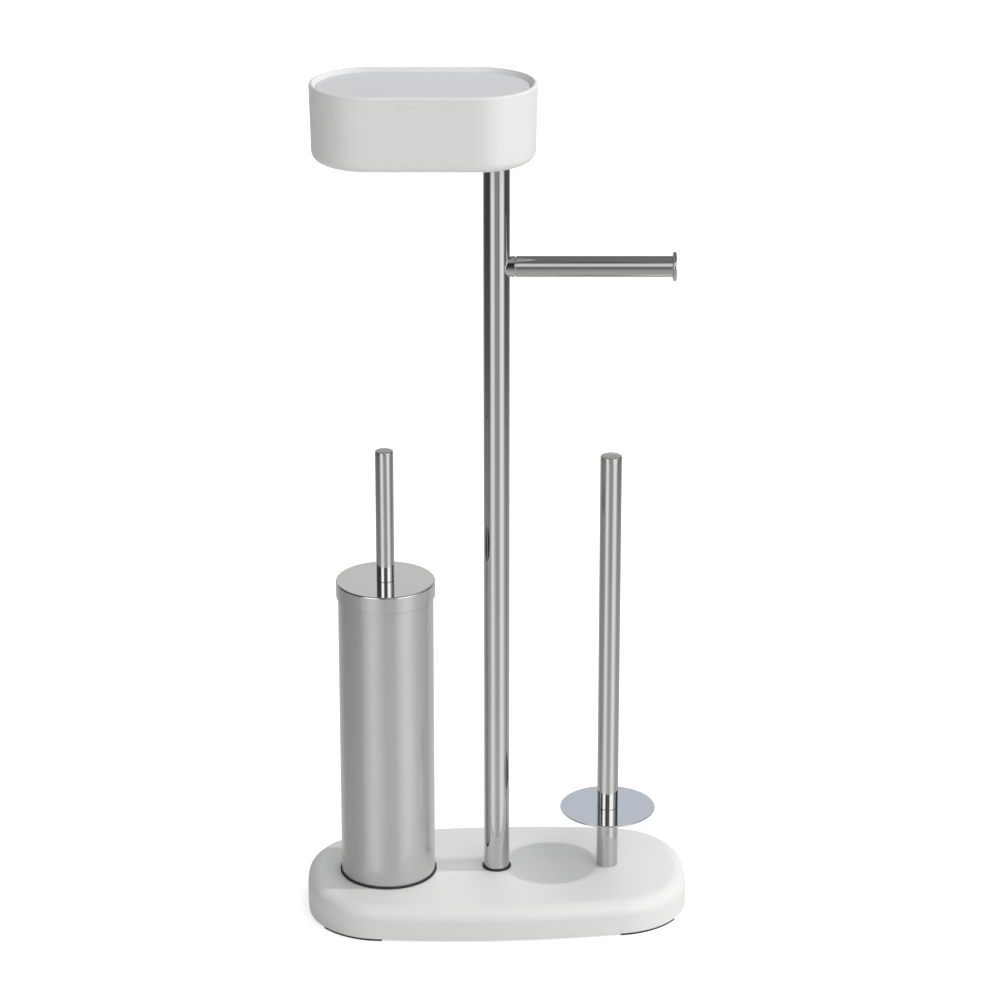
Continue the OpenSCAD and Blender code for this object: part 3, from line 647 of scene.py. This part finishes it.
def groove(point):
    """How deep the finger groove is at a point of the front wall."""
    half = (GROOVE_LENGTH - GROOVE_HEIGHT) / 2
    across = max(abs(point[0]) - half, 0)
    away = math.hypot(across, point[2] - (BOX_HEIGHT - GROOVE_DROP)) / (GROOVE_HEIGHT / 2)
    return GROOVE_DEPTH * (1 + math.cos(math.pi * min(away, 1))) / 2


def close_level(bm, level):
    """Closes the open edge at a level with one face."""
    edge = [e for e in bm.edges if e.is_boundary
            and all(abs(v.co.z - level) < SLIP for v in e.verts)]
    bmesh.ops.contextual_create(bm, geom=edge)


def box_body():
    """The box: an outer wall with its groove, the rim, the lid's ledge and the inside."""
    ledge_r = LID_RECESS_R - LEDGE_WIDTH
    ledge_z = LID_SEAT - LEDGE_THICK
    inner_r = BOX_R - BOX_WALL
    section = softened([
        (0, 0, 0), (BOX_R - BOX_DRAFT, 0, BOX_FOOT_R), (BOX_R, BOX_HEIGHT, RIM_EDGE_R),
        (BOX_R - RIM_CREST, BOX_HEIGHT, RIM_CREST_R),
        (LID_RECESS_R, BOX_HEIGHT - LID_DROP, TUBE_EDGE), (LID_RECESS_R, LID_SEAT, 0),
        (ledge_r, LID_SEAT, TUBE_EDGE), (ledge_r, ledge_z, TUBE_EDGE),
        (inner_r, ledge_z - LEDGE_WIDTH, RIM_CREST_R),
        (inner_r - BOX_DRAFT, BOX_FLOOR, BOX_FOOT_R), (0, BOX_FLOOR, 0)], steps=BOX_EDGE_STEPS)
    groove_z = BOX_HEIGHT - GROOVE_DROP
    groove_rows = round(2 * GROOVE_REACH * GROOVE_ROWS)
    fine = [groove_z + GROOVE_HEIGHT * (k / GROOVE_ROWS - GROOVE_REACH)
            for k in range(groove_rows + 1)]
    levels = [fine[0] * k / WALL_ROWS for k in range(1, WALL_ROWS)] + fine
    rows = []
    for point, following in zip(section, section[1:] + section[:1]):
        rows.append(point)
        wall = point.x > BOX_R - BOX_DRAFT - SLIP and following.y - point.y > BOX_HEIGHT / 2
        if wall:
            climb = following.y - point.y
            rows += [point.lerp(following, (up - point.y) / climb) for up in levels
                     if point.y < up < following.y]
    rings = []
    for row in rows[1:-1]:
        ring = oblong(row.x, row.y)
        if row.x > BOX_R - BOX_DRAFT - SLIP:
            ring = [(x, y + groove((x, y, z)) if y < 0 else y, z) for x, y, z in ring]
        rings.append(ring)
    under = oblong(BOX_CENTRE_R, 0)
    inside = oblong(BOX_CENTRE_R, BOX_FLOOR)
    bm = skin([under] + rings + [inside], loop=False)
    close_level(bm, 0)
    close_level(bm, BOX_FLOOR)
    bm.transform(BOX_FRAME)
    return bm


def box_lid():
    """The flat inset lid, with a rib below that keeps it in the ledge."""
    top = LID_SEAT + LID_THICK
    edge_r = LID_RECESS_R - LID_GAP
    rib_r = LID_RECESS_R - LEDGE_WIDTH - LID_GAP
    section = softened([
        (0, top, 0), (edge_r, top, LID_EDGE), (edge_r, LID_SEAT, LID_EDGE), (rib_r, LID_SEAT, 0),
        (rib_r, LID_SEAT - LID_RIB_DEPTH, LID_EDGE),
        (rib_r - LID_RIB_THICK, LID_SEAT - LID_RIB_DEPTH, LID_EDGE),
        (rib_r - LID_RIB_THICK, LID_SEAT, 0), (0, LID_SEAT, 0)])
    rings = [oblong(max(point.x, BOX_CENTRE_R), point.y) for point in section]
    bm = skin(rings, loop=False)
    close_level(bm, top)
    close_level(bm, LID_SEAT)
    bm.transform(BOX_FRAME)
    return bm


dress("storage_box", box_body(), white_box, "box_body")
dress("storage_box_lid", box_lid(), white_lid, "box_lid")

# Spare roll rod

rod_middle, ROD_R, rod_foot, disc_under = span("spare_rod_foot")
_, plate_r, _, disc_top = span("spare_roll_disc")
_, _, cap_foot, rod_top = span("spare_rod_cap")
rod_top_joint = span("spare_rod_tube")[3]
dress("spare_rod_lower", turned([
    (STUD_HOLE_R, rod_foot, 0), (ROD_R, rod_foot, TUBE_EDGE), (ROD_R, disc_under, TUBE_EDGE),
    (STUD_HOLE_R, disc_under, 0)], upright(rod_middle)), steel, "spare_rod_foot")
dress("spare_rolls_disc", turned([
    (STUD_HOLE_R, disc_under, 0), (plate_r - DISC_BEVEL, disc_under, DISC_EDGE),
    (plate_r, disc_top - DISC_RIM, DISC_EDGE), (plate_r, disc_top, DISC_EDGE),
    (STUD_HOLE_R, disc_top, 0)], upright(rod_middle)), plate_steel, "spare_roll_disc")
upright_tube("spare_rod", "spare_rod_tube", steel, TUBE_WALL, SEAM_EDGE)


def end_cap(radius, wall, joint, top, foot, middle):
    """A cap with a soft rim over a spigot inside its tube."""
    spigot = radius - wall - SLIP
    return turned([(0, top, 0), (radius, top, CAP_EDGE), (radius, joint, TUBE_EDGE),
                   (spigot, joint, 0), (spigot, foot, TUBE_EDGE), (0, foot, 0)], upright(middle))


dress("spare_rod_end", end_cap(ROD_R, TUBE_WALL, rod_top_joint, rod_top, cap_foot, rod_middle),
      steel, "spare_rod_cap")

# Brush holder

holder_middle, HOLDER_R, holder_foot, holder_top = span("holder_tube")
_, ring_r, _, _ = span("holder_foot_ring")
upright_tube("holder", "holder_tube", holder_steel, HOLDER_WALL)
upright_tube("holder_ring", "holder_foot_ring", black_rubber, ring_r - HOLDER_R + RING_OVERLAP,
             WASHER_EDGE)
_, _, liner_foot, liner_top = span("holder_liner")
liner_r = HOLDER_R - HOLDER_WALL - LINER_GAP
dress("holder_cup", turned([
    (0, liner_foot, 0), (liner_r, liner_foot, LINER_WALL), (liner_r, holder_top, 0),
    (HOLDER_R, holder_top, TUBE_EDGE), (HOLDER_R, liner_top, WASHER_EDGE),
    (liner_r - LINER_WALL, liner_top, WASHER_EDGE),
    (liner_r - LINER_WALL, liner_foot + LINER_FLOOR, LINER_WALL),
    (0, liner_foot + LINER_FLOOR, 0)], upright(holder_middle)), liner_plastic, "holder_liner")

# Brush

_, lid_r, skirt_foot, lid_top = span("brush_lid")
lid_bore_r = lid_r - BRUSH_LID_THICK
lid_under = lid_top - BRUSH_LID_THICK
holder_lid = dress("holder_lid", turned([
    (STUD_HOLE_R, lid_under, 0), (lid_bore_r, lid_under, WASHER_EDGE),
    (lid_bore_r, skirt_foot, TUBE_EDGE), (lid_r, skirt_foot, TUBE_EDGE),
    (lid_r, lid_top, BRUSH_LID_EDGE), (STUD_HOLE_R, lid_top, 0)], upright(holder_middle)),
                   plate_steel, "brush_lid")
# The lid's top is mirror bright, and its skirt is satin like the holder
holder_lid.data.materials.append(holder_steel)
for face in holder_lid.data.polygons:
    if abs(face.normal.z) < STEEPEST_RISE:
        face.material_index = 1
upright_tube("brush_handle", "handle_tube", steel, TUBE_WALL, SEAM_EDGE)
_, HANDLE_R, _, handle_joint = span("handle_tube")
_, _, handle_spigot, handle_top = span("handle_cap")
dress("brush_handle_end", end_cap(HANDLE_R, TUBE_WALL, handle_joint, handle_top, handle_spigot,
                                  holder_middle), steel, "handle_cap")

_, collar_r, stem_foot, stem_top = span("brush_stem")
dress("brush_shaft", turned([
    (0, stem_foot, 0), (STEM_R, stem_foot, TUBE_EDGE),
    (STEM_R, stem_top - STEM_COLLAR, STEM_NECK_R),
    (collar_r, stem_top - STEM_COLLAR, COLLAR_EDGE),
    (collar_r, stem_top, TUBE_EDGE), (0, stem_top, 0)], upright(holder_middle)),
      brush_plastic, "brush_stem")
_, _, core_foot, core_top = span("brush_core")
dress("brush_head_core", turned([
    (0, core_foot, 0), (CORE_R, core_foot, CORE_FOOT_R), (CORE_R, core_top, COLLAR_EDGE),
    (STEM_R + SLIP, core_top, 0), (STEM_R + SLIP, stem_foot, 0), (0, stem_foot, 0)],
    upright(holder_middle)), brush_plastic, "brush_core")


def bristle_plan():
    """Bristles: rows of tufts round the core, each tuft a bundle of thin tapered hairs."""
    tree, given = plan("Bristles", {
        "Rows": "Int", "Tufts": "Int", "Hairs": "Int", "Foot": "Float", "Height": "Float",
        "Root radius": "Float", "Tip radius": "Float", "Rounding": "Float", "Splay": "Float",
        "Hair radius": "Float", "Fan": "Float", "Seed": "Int", "Material": "Material"})
    tufts_in_all = sum_of(tree, "MULTIPLY", given["Rows"], given["Tufts"])
    hairs_in_all = sum_of(tree, "MULTIPLY", tufts_in_all, given["Hairs"])
    points = add(tree, "GeometryNodePoints", {"Count": hairs_in_all})
    index = add(tree, "GeometryNodeInputIndex").outputs[0]
    tuft = sum_of(tree, "FLOOR", sum_of(tree, "DIVIDE", index, given["Hairs"]))
    row = sum_of(tree, "FLOOR", sum_of(tree, "DIVIDE", tuft, given["Tufts"]))
    last_row = sum_of(tree, "SUBTRACT", given["Rows"], 1.0)
    up = sum_of(tree, "DIVIDE", row, last_row)
    share = sum_of(tree, "SUBTRACT", sum_of(tree, "MULTIPLY", up, 2.0), 1.0)
    square = sum_of(tree, "MULTIPLY", share, share)
    cube = sum_of(tree, "MULTIPLY", square, share)

    def chance(offset, reach):
        seed = sum_of(tree, "ADD", given["Seed"], float(offset))
        back = sum_of(tree, "MULTIPLY", reach, -1.0)
        return add(tree, "FunctionNodeRandomValue",
                   {"Min": back, "Max": reach, "Seed": seed}, data_type="FLOAT").outputs[1]

    stagger = sum_of(tree, "MULTIPLY", sum_of(tree, "MODULO", row, 2.0), 0.5)
    column = sum_of(tree, "ADD", tuft, stagger)
    step = sum_of(tree, "DIVIDE", 2 * math.pi, given["Tufts"])
    angle = sum_of(tree, "ADD", sum_of(tree, "MULTIPLY", column, step), chance(1, given["Fan"]))
    shorter = sum_of(tree, "MULTIPLY", square, given["Rounding"])
    tip_r = sum_of(tree, "SUBTRACT", given["Tip radius"], shorter)
    length = sum_of(tree, "SUBTRACT", tip_r, given["Root radius"])
    length = sum_of(tree, "MULTIPLY", length,
                    sum_of(tree, "ADD", HAIR_LENGTH_SHARE, chance(2, given["Fan"])))
    rise = sum_of(tree, "ARCTAN2", sum_of(tree, "MULTIPLY", cube, given["Splay"]), length)
    rise = sum_of(tree, "ADD", rise, chance(3, given["Fan"]))
    tilt = sum_of(tree, "MULTIPLY", rise, -1.0)
    height = sum_of(tree, "ADD", given["Foot"], sum_of(tree, "MULTIPLY", up, given["Height"]))
    place = add(tree, "ShaderNodeCombineXYZ", {
        "X": sum_of(tree, "MULTIPLY", given["Root radius"], sum_of(tree, "COSINE", angle)),
        "Y": sum_of(tree, "MULTIPLY", given["Root radius"], sum_of(tree, "SINE", angle)),
        "Z": height})
    rooted = add(tree, "GeometryNodeSetPosition",
                 {"Geometry": points.outputs[0], "Position": place.outputs[0]})
    hair = add(tree, "GeometryNodeMeshCone",
               {"Vertices": 4, "Side Segments": 2, "Radius Top": 0.55, "Radius Bottom": 1.0,
                "Depth": 1.0}, fill_type="NGON")
    lying = add(tree, "GeometryNodeTransform",
                {"Geometry": hair.outputs[0], "Rotation": (0.0, math.pi / 2, 0.0)})
    turn = add(tree, "ShaderNodeCombineXYZ", {"Y": tilt, "Z": angle})
    size = add(tree, "ShaderNodeCombineXYZ",
               {"X": length, "Y": given["Hair radius"], "Z": given["Hair radius"]})
    grown = add(tree, "GeometryNodeInstanceOnPoints", {
        "Points": rooted.outputs[0], "Instance": lying.outputs[0], "Rotation": turn.outputs[0],
        "Scale": size.outputs[0]})
    end_plan(tree, grown.outputs[0], given["Material"])
    return tree


bristle_middle, bristle_tip_r, _, _ = span("bristles")
bristles = made_by(bristle_plan(), {
    "Rows": 18, "Tufts": 18, "Hairs": 7, "Foot": core_foot + CORE_END,
    "Height": core_top - core_foot - 2 * CORE_END, "Root radius": CORE_R - 0.5 * MM,
    "Tip radius": bristle_tip_r, "Rounding": 5 * MM, "Splay": 7 * MM,
    "Hair radius": 0.32 * MM, "Fan": 0.05, "Seed": 7, "Material": bristle_nylon})
bristles.transform(upright(bristle_middle))
dress("brush_bristles", bristles, bristle_nylon, "bristles")


# Closing plate's screws, and the hardware inside, which keeps its CAD shape

SCREW_SIDES = 40
SLOT_DEPTH_SHARE = 1.2
SLOT_WIDTH_SHARE = 0.25


def screw_plan():
    """Countersunk screws, head down, one on each point of the mesh that is given."""
    tree, given = plan("Plate screws", {
        "Head radius": "Float", "Shank radius": "Float", "Head height": "Float",
        "Length": "Float", "Recess": "Float", "Material": "Material"})
    head = add(tree, "GeometryNodeMeshCone",
               {"Vertices": SCREW_SIDES, "Radius Top": given["Shank radius"],
                "Radius Bottom": given["Head radius"], "Depth": given["Head height"]},
               fill_type="NGON")
    shank = add(tree, "GeometryNodeMeshCylinder",
                {"Vertices": SCREW_SIDES, "Radius": given["Shank radius"],
                 "Depth": given["Length"]},
                fill_type="NGON")
    half = sum_of(tree, "MULTIPLY", given["Length"], 0.5)
    lifted = add(tree, "GeometryNodeTransform", {
        "Geometry": shank.outputs[0],
        "Translation": add(tree, "ShaderNodeCombineXYZ", {"Z": half}).outputs[0]})
    deep = sum_of(tree, "MULTIPLY", given["Head height"], SLOT_DEPTH_SHARE)
    wide = sum_of(tree, "MULTIPLY", given["Recess"], SLOT_WIDTH_SHARE)
    slots = []
    for across, along in ((given["Recess"], wide), (wide, given["Recess"])):
        size = add(tree, "ShaderNodeCombineXYZ", {"X": across, "Y": along, "Z": deep})
        slots.append(add(tree, "GeometryNodeMeshCube", {"Size": size.outputs[0]}).outputs[0])
    whole = add(tree, "GeometryNodeMeshBoolean", operation="UNION", solver="EXACT")
    tree.links.new(lifted.outputs[0], whole.inputs[1])
    tree.links.new(head.outputs[0], whole.inputs[1])
    cross = add(tree, "GeometryNodeMeshBoolean", operation="UNION", solver="EXACT")
    for slot in slots:
        tree.links.new(slot, cross.inputs[1])
    cut = add(tree, "GeometryNodeMeshBoolean", operation="DIFFERENCE", solver="EXACT")
    tree.links.new(whole.outputs[0], cut.inputs[0])
    tree.links.new(cross.outputs[0], cut.inputs[1])
    placed = add(tree, "GeometryNodeInstanceOnPoints",
                 {"Points": given["Geometry"], "Instance": cut.outputs[0]})
    end_plan(tree, placed.outputs[0], given["Material"])
    return tree


PLATE_SCREW_END_GAP = 23.5 * MM
PLATE_SCREW_SHARE = 0.3
PLATE_SCREW_EDGE_GAP = 21.5 * MM
PLATE_SCREW_HEAD_R = 3.75 * MM
PLATE_SCREW_R = 2 * MM


def plate_screws():
    """The six screws of the closing plate: one at each end and two along each side."""
    low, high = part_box("plate_screws")
    places = bmesh.new()
    outer = BASE_WIDTH / 2 - PLATE_SCREW_END_GAP
    inner = PLATE_SCREW_SHARE * BASE_WIDTH / 2
    deep = BASE_DEPTH / 2 - PLATE_SCREW_EDGE_GAP
    for side in (-1, 1):
        places.verts.new((side * outer, 0, low.z))
        for end in (-1, 1):
            places.verts.new((side * inner, end * deep, low.z))
    start = bpy.data.meshes.new("screw_places")
    places.to_mesh(start)
    places.free()
    return made_by(screw_plan(), {
        "Head radius": PLATE_SCREW_HEAD_R, "Shank radius": PLATE_SCREW_R,
        "Head height": PLATE_SCREW_HEAD_R - PLATE_SCREW_R, "Length": high.z - low.z,
        "Recess": PLATE_SCREW_HEAD_R, "Material": zinc}, start)


dress("plate_screws_crossed", plate_screws(), zinc, "plate_screws")

INSIDE = {
    "base_ballast": mineral, "base_plate": black_coating, "base_bolts": zinc,
    "base_bolt_washers": zinc, "post_foot_plug": zinc, "post_head_plug": zinc,
    "box_clamp_plate": zinc, "box_screw": zinc, "arm_stud": zinc, "arm_plug": zinc,
    "spare_rod_stud": zinc, "spare_rod_plug": zinc, "holder_floor": zinc, "holder_nut": zinc,
    "brush_stud": zinc, "handle_plug": zinc,
}
for node, material in INSIDE.items():
    mesh = frame["nodes"][node].data
    mesh.materials.clear()
    mesh.materials.append(material)


# Studio

def stage_mesh(name, bm, material):
    """A mesh of the studio, which isn't part of the stand."""
    mesh = bpy.data.meshes.new(name)
    bm.to_mesh(mesh)
    bm.free()
    mesh.materials.append(material)
    thing = bpy.data.objects.new(name, mesh)
    bpy.context.scene.collection.objects.link(thing)
    return thing


def seen_directly(tree):
    """1 for rays of the camera, of reflections and of glass, and 0 for all others."""
    path = add(tree, "ShaderNodeLightPath").outputs
    mirrored = sum_of(tree, "MAXIMUM", path["Is Glossy Ray"], path["Is Transmission Ray"])
    return sum_of(tree, "MAXIMUM", path["Is Camera Ray"], mirrored)


FLOOR_HALF = 14.0
FLOOR_COLOUR = 0.80
FLOOR_LIFT = 0.60


def floor():
    """A pale floor that takes the stand's shadow and isn't mirrored in it."""
    material, tree, shader = surface("pale_floor", (FLOOR_COLOUR,) * 3, roughness=0.9,
                                     Specular_IOR_Level=0.0)
    shader.inputs["Emission Color"].default_value = (1, 1, 1, 1)
    lift = sum_of(tree, "MULTIPLY", seen_directly(tree), FLOOR_LIFT)
    tree.links.new(lift, shader.inputs["Emission Strength"])
    bm = bmesh.new()
    corners = ((-1, -1), (1, -1), (1, 1), (-1, 1))
    bm.faces.new([bm.verts.new((FLOOR_HALF * x, FLOOR_HALF * y, 0)) for x, y in corners])
    ground = stage_mesh("studio_floor", bm, material)
    ground.visible_glossy = False


AMBIENT = 0.29


def studio_world():
    """White to look at, and a dimmer even light on everything."""
    world = bpy.data.worlds.new("studio_world")
    bpy.context.scene.world = world
    world.use_nodes = True
    tree = world.node_tree
    plain = tree.nodes["Background"]
    plain.inputs["Color"].default_value = (1, 1, 1, 1)
    plain.inputs["Strength"].default_value = AMBIENT
    white = add(tree, "ShaderNodeBackground", {"Color": (1, 1, 1, 1), "Strength": 1.0})
    mixed = add(tree, "ShaderNodeMixShader", {0: seen_directly(tree)})
    tree.links.new(plain.outputs[0], mixed.inputs[1])
    tree.links.new(white.outputs[0], mixed.inputs[2])
    tree.links.new(mixed.outputs[0], tree.nodes["World Output"].inputs["Surface"])


def towards_lamp(azimuth, elevation):
    """The direction of a lamp. Azimuth 0 is the front and 90 the right."""
    az, up = math.radians(azimuth), math.radians(elevation)
    return Vector((math.sin(az) * math.cos(up), -math.cos(az) * math.cos(up), math.sin(up)))


def hang(name, data, direction, place=(0, 0, 0)):
    """Hangs a light that shines against its direction and isn't mirrored."""
    thing = bpy.data.objects.new(name, data)
    thing.location = place
    thing.rotation_euler = direction.to_track_quat("Z", "Y").to_euler()
    thing.visible_glossy = False
    bpy.context.scene.collection.objects.link(thing)


def lamp(name, azimuth, elevation, light, softness):
    """A far lamp; light is what it adds to a white that faces it."""
    data = bpy.data.lights.new(name, "SUN")
    data.energy = light * math.pi
    data.angle = math.radians(softness)
    hang(name, data, towards_lamp(azimuth, elevation))


STAND_MIDDLE = Vector((0, 0, 0.36))


def near_softbox(name, azimuth, elevation, distance, width, power):
    """A square softbox that faces the middle of the stand."""
    data = bpy.data.lights.new(name, "AREA")
    data.shape = "SQUARE"
    data.size = width
    data.energy = power
    direction = towards_lamp(azimuth, elevation)
    hang(name, data, direction, STAND_MIDDLE + distance * direction)


floor()
studio_world()
lamp("key_lamp", azimuth=87, elevation=48, light=0.31, softness=3.5)
near_softbox("side_softbox", azimuth=60, elevation=35, distance=1.5, width=1.2, power=4.5)
lamp("front_softbox", azimuth=20, elevation=35, light=0.28, softness=60)
lamp("back_softbox", azimuth=150, elevation=40, light=0.27, softness=60)


# Reflection cards: flags and softboxes all round the stand, which only its polished faces see.
# A card's table gives its brightness over the height, and its width is a start, an end and a
# fade in azimuth, all in degrees from the middle of the base.

def blended(table, value):
    """The table's brightness at a value, straight between its rows."""
    for (a, first), (b, second) in zip(table, table[1:]):
        if value <= b:
            return first + (second - first) * min(max((value - a) / (b - a), 0), 1)
    return table[-1][1]


def between(value, start, end, fade):
    """1 from start to end, fading to 0 outside them."""
    rise = min(max((value - start) / fade + 0.5, 0), 1)
    fall = min(max((end - value) / fade + 0.5, 0), 1)
    return rise * fall


FRONT_CARD = ((-90, 0.66), (-45, 0.60), (-30, 0.58), (-20, 0.64), (-8, 0.50), (12, 0.42),
              (18, 0.36), (22, 0.14), (36, 0.14), (42, 0.03), (66, 0.03), (73, 0.22), (90, 0.25))
SIDE_FLAG = ((-90, 0.60), (-22, 0.55), (-12, 0.46), (-4, 0.36), (4, 0.18), (12, 0.10),
             (28, 0.08), (50, 0.25))
BACK_CARD = ((-90, 0.70), (-20, 0.70), (-4, 0.55), (12, 0.22), (18, 0.30), (22, 0.88),
             (37, 0.88), (38.5, 0.55), (46, 0.25))
LOW_STRIP = ((-90, 0.9), (-40, 1.1), (-20, 1.27), (14, 1.32), (18, 0.8), (22, 0.12))
HIGH_STRIP = ((15, 0.4), (20, 3.0), (38, 3.0), (42, 1.6), (60, 1.6), (64, 0.25))
OVERHEAD = ((40, 0), (45, 1.0), (63, 1.0), (70, 0))
RIGHT_SHELF = ((16, 0), (20, 0.75), (38, 0.9), (44, 1.5), (58, 1.5), (62, 0))
ARM_CARD = ((18, 0), (24, 0.12), (36, 0.14), (42, 0))
STRIP_FADE = ((-20, 30), (-4, 24), (12, 14))
LOW_STRIP_WIDTHS = ((-53, -22), (25, 63))
HIGH_STRIP_WIDTHS = ((-55, -25, 12), (22, 63, 12))
FRONT_WIDTH = (-60, 66, 16)
OVERHEAD_WIDTH = (-6, 26, 4)
ARM_CARD_WIDTH = (-4, 12, 6)
SHELF_WIDTH = (64, 92, 6)
DARK_LINE = (11, 19, 6)
DARK_LINE_DEPTH = 0.25
BACK_WIDTH = (132, 200, 24)
RIGHT_GAIN, LEFT_GAIN = 1.15, 0.85
WARM = Vector((1.0, 0.998, 0.985))
COOL = Vector((0.94, 1.02, 1.14))
COOL_BAND = (18, 32.5, 2)
CARD_RADIUS = 1.2
CARD_STEPS = 240


def card_colour(azimuth, height):
    """The light of the cards at an azimuth and a height, in degrees."""
    middle = between(azimuth, *FRONT_WIDTH)
    side = blended(SIDE_FLAG, height) * (RIGHT_GAIN if azimuth > 0 else LEFT_GAIN)
    light = side * (1 - middle) + blended(FRONT_CARD, height) * middle
    light *= 1 - DARK_LINE_DEPTH * between(azimuth, *DARK_LINE)
    fade = blended(STRIP_FADE, height)
    for start, end in LOW_STRIP_WIDTHS:
        light += (max(blended(LOW_STRIP, height), light) - light) * between(
            azimuth, start, end, fade)
    if height > HIGH_STRIP[0][0]:
        for width in HIGH_STRIP_WIDTHS:
            light += (max(blended(HIGH_STRIP, height), light) - light) * between(azimuth, *width)
        light = max(light, blended(RIGHT_SHELF, height) * between(azimuth, *SHELF_WIDTH))
    light += blended(OVERHEAD, height) * between(azimuth, *OVERHEAD_WIDTH)
    light += blended(ARM_CARD, height) * between(azimuth, *ARM_CARD_WIDTH)
    back = between(abs(azimuth), *BACK_WIDTH)
    tint = WARM.lerp(COOL, back * between(height, *COOL_BAND))
    return (light + (blended(BACK_CARD, height) - light) * back) * tint


def reflection_cards():
    """A sphere round the stand that carries the light of all cards in one attribute."""
    material = bpy.data.materials.new("card_light")
    material.use_nodes = True
    tree = material.node_tree
    tree.nodes.clear()
    light = add(tree, "ShaderNodeAttribute", attribute_name="card_light")
    glow = add(tree, "ShaderNodeEmission", {"Color": light.outputs["Color"]})
    out = add(tree, "ShaderNodeOutputMaterial")
    tree.links.new(glow.outputs[0], out.inputs["Surface"])
    bm = bmesh.new()
    layer = bm.verts.layers.float_color.new("card_light")
    made = []
    for height in range(-90, 91):
        line = []
        up = math.radians(height)
        for k in range(CARD_STEPS + 1):
            azimuth = -180 + 360 * k / CARD_STEPS
            a = math.radians(azimuth)
            vertex = bm.verts.new((CARD_RADIUS * math.cos(up) * math.sin(a),
                                   -CARD_RADIUS * math.cos(up) * math.cos(a),
                                   CARD_RADIUS * math.sin(up)))
            vertex[layer] = (*card_colour(azimuth, height), 1)
            line.append(vertex)
        made.append(line)
    for low, high in zip(made, made[1:]):
        for k in range(CARD_STEPS):
            bm.faces.new((low[k], low[k + 1], high[k + 1], high[k]))
    cards = stage_mesh("reflection_cards", bm, material)
    cards.visible_camera = False
    cards.visible_diffuse = False
    cards.visible_transmission = False
    cards.visible_volume_scatter = False
    cards.visible_shadow = False


reflection_cards()


# Camera, at the photograph's viewing angle

CAMERA_AIM = Vector((0.0028, 0.0, 0.36715))
CAMERA_DISTANCE = 3.3201
CAMERA_TILT = math.radians(21.15)
CAMERA_SWING = math.radians(3)
CAMERA_LENS = 144
CAMERA_SENSOR = 36

camera_data = bpy.data.cameras.new("camera")
camera_data.lens = CAMERA_LENS
camera_data.sensor_width = CAMERA_SENSOR
camera = bpy.data.objects.new("camera", camera_data)
towards = Vector((math.sin(CAMERA_SWING) * math.cos(CAMERA_TILT),
                  math.cos(CAMERA_SWING) * math.cos(CAMERA_TILT), -math.sin(CAMERA_TILT)))
camera.location = CAMERA_AIM - CAMERA_DISTANCE * towards
camera.rotation_euler = (math.pi / 2 - CAMERA_TILT, 0, -CAMERA_SWING)
bpy.context.scene.collection.objects.link(camera)
bpy.context.scene.camera = camera
bpy.context.scene.view_settings.view_transform = "Standard"
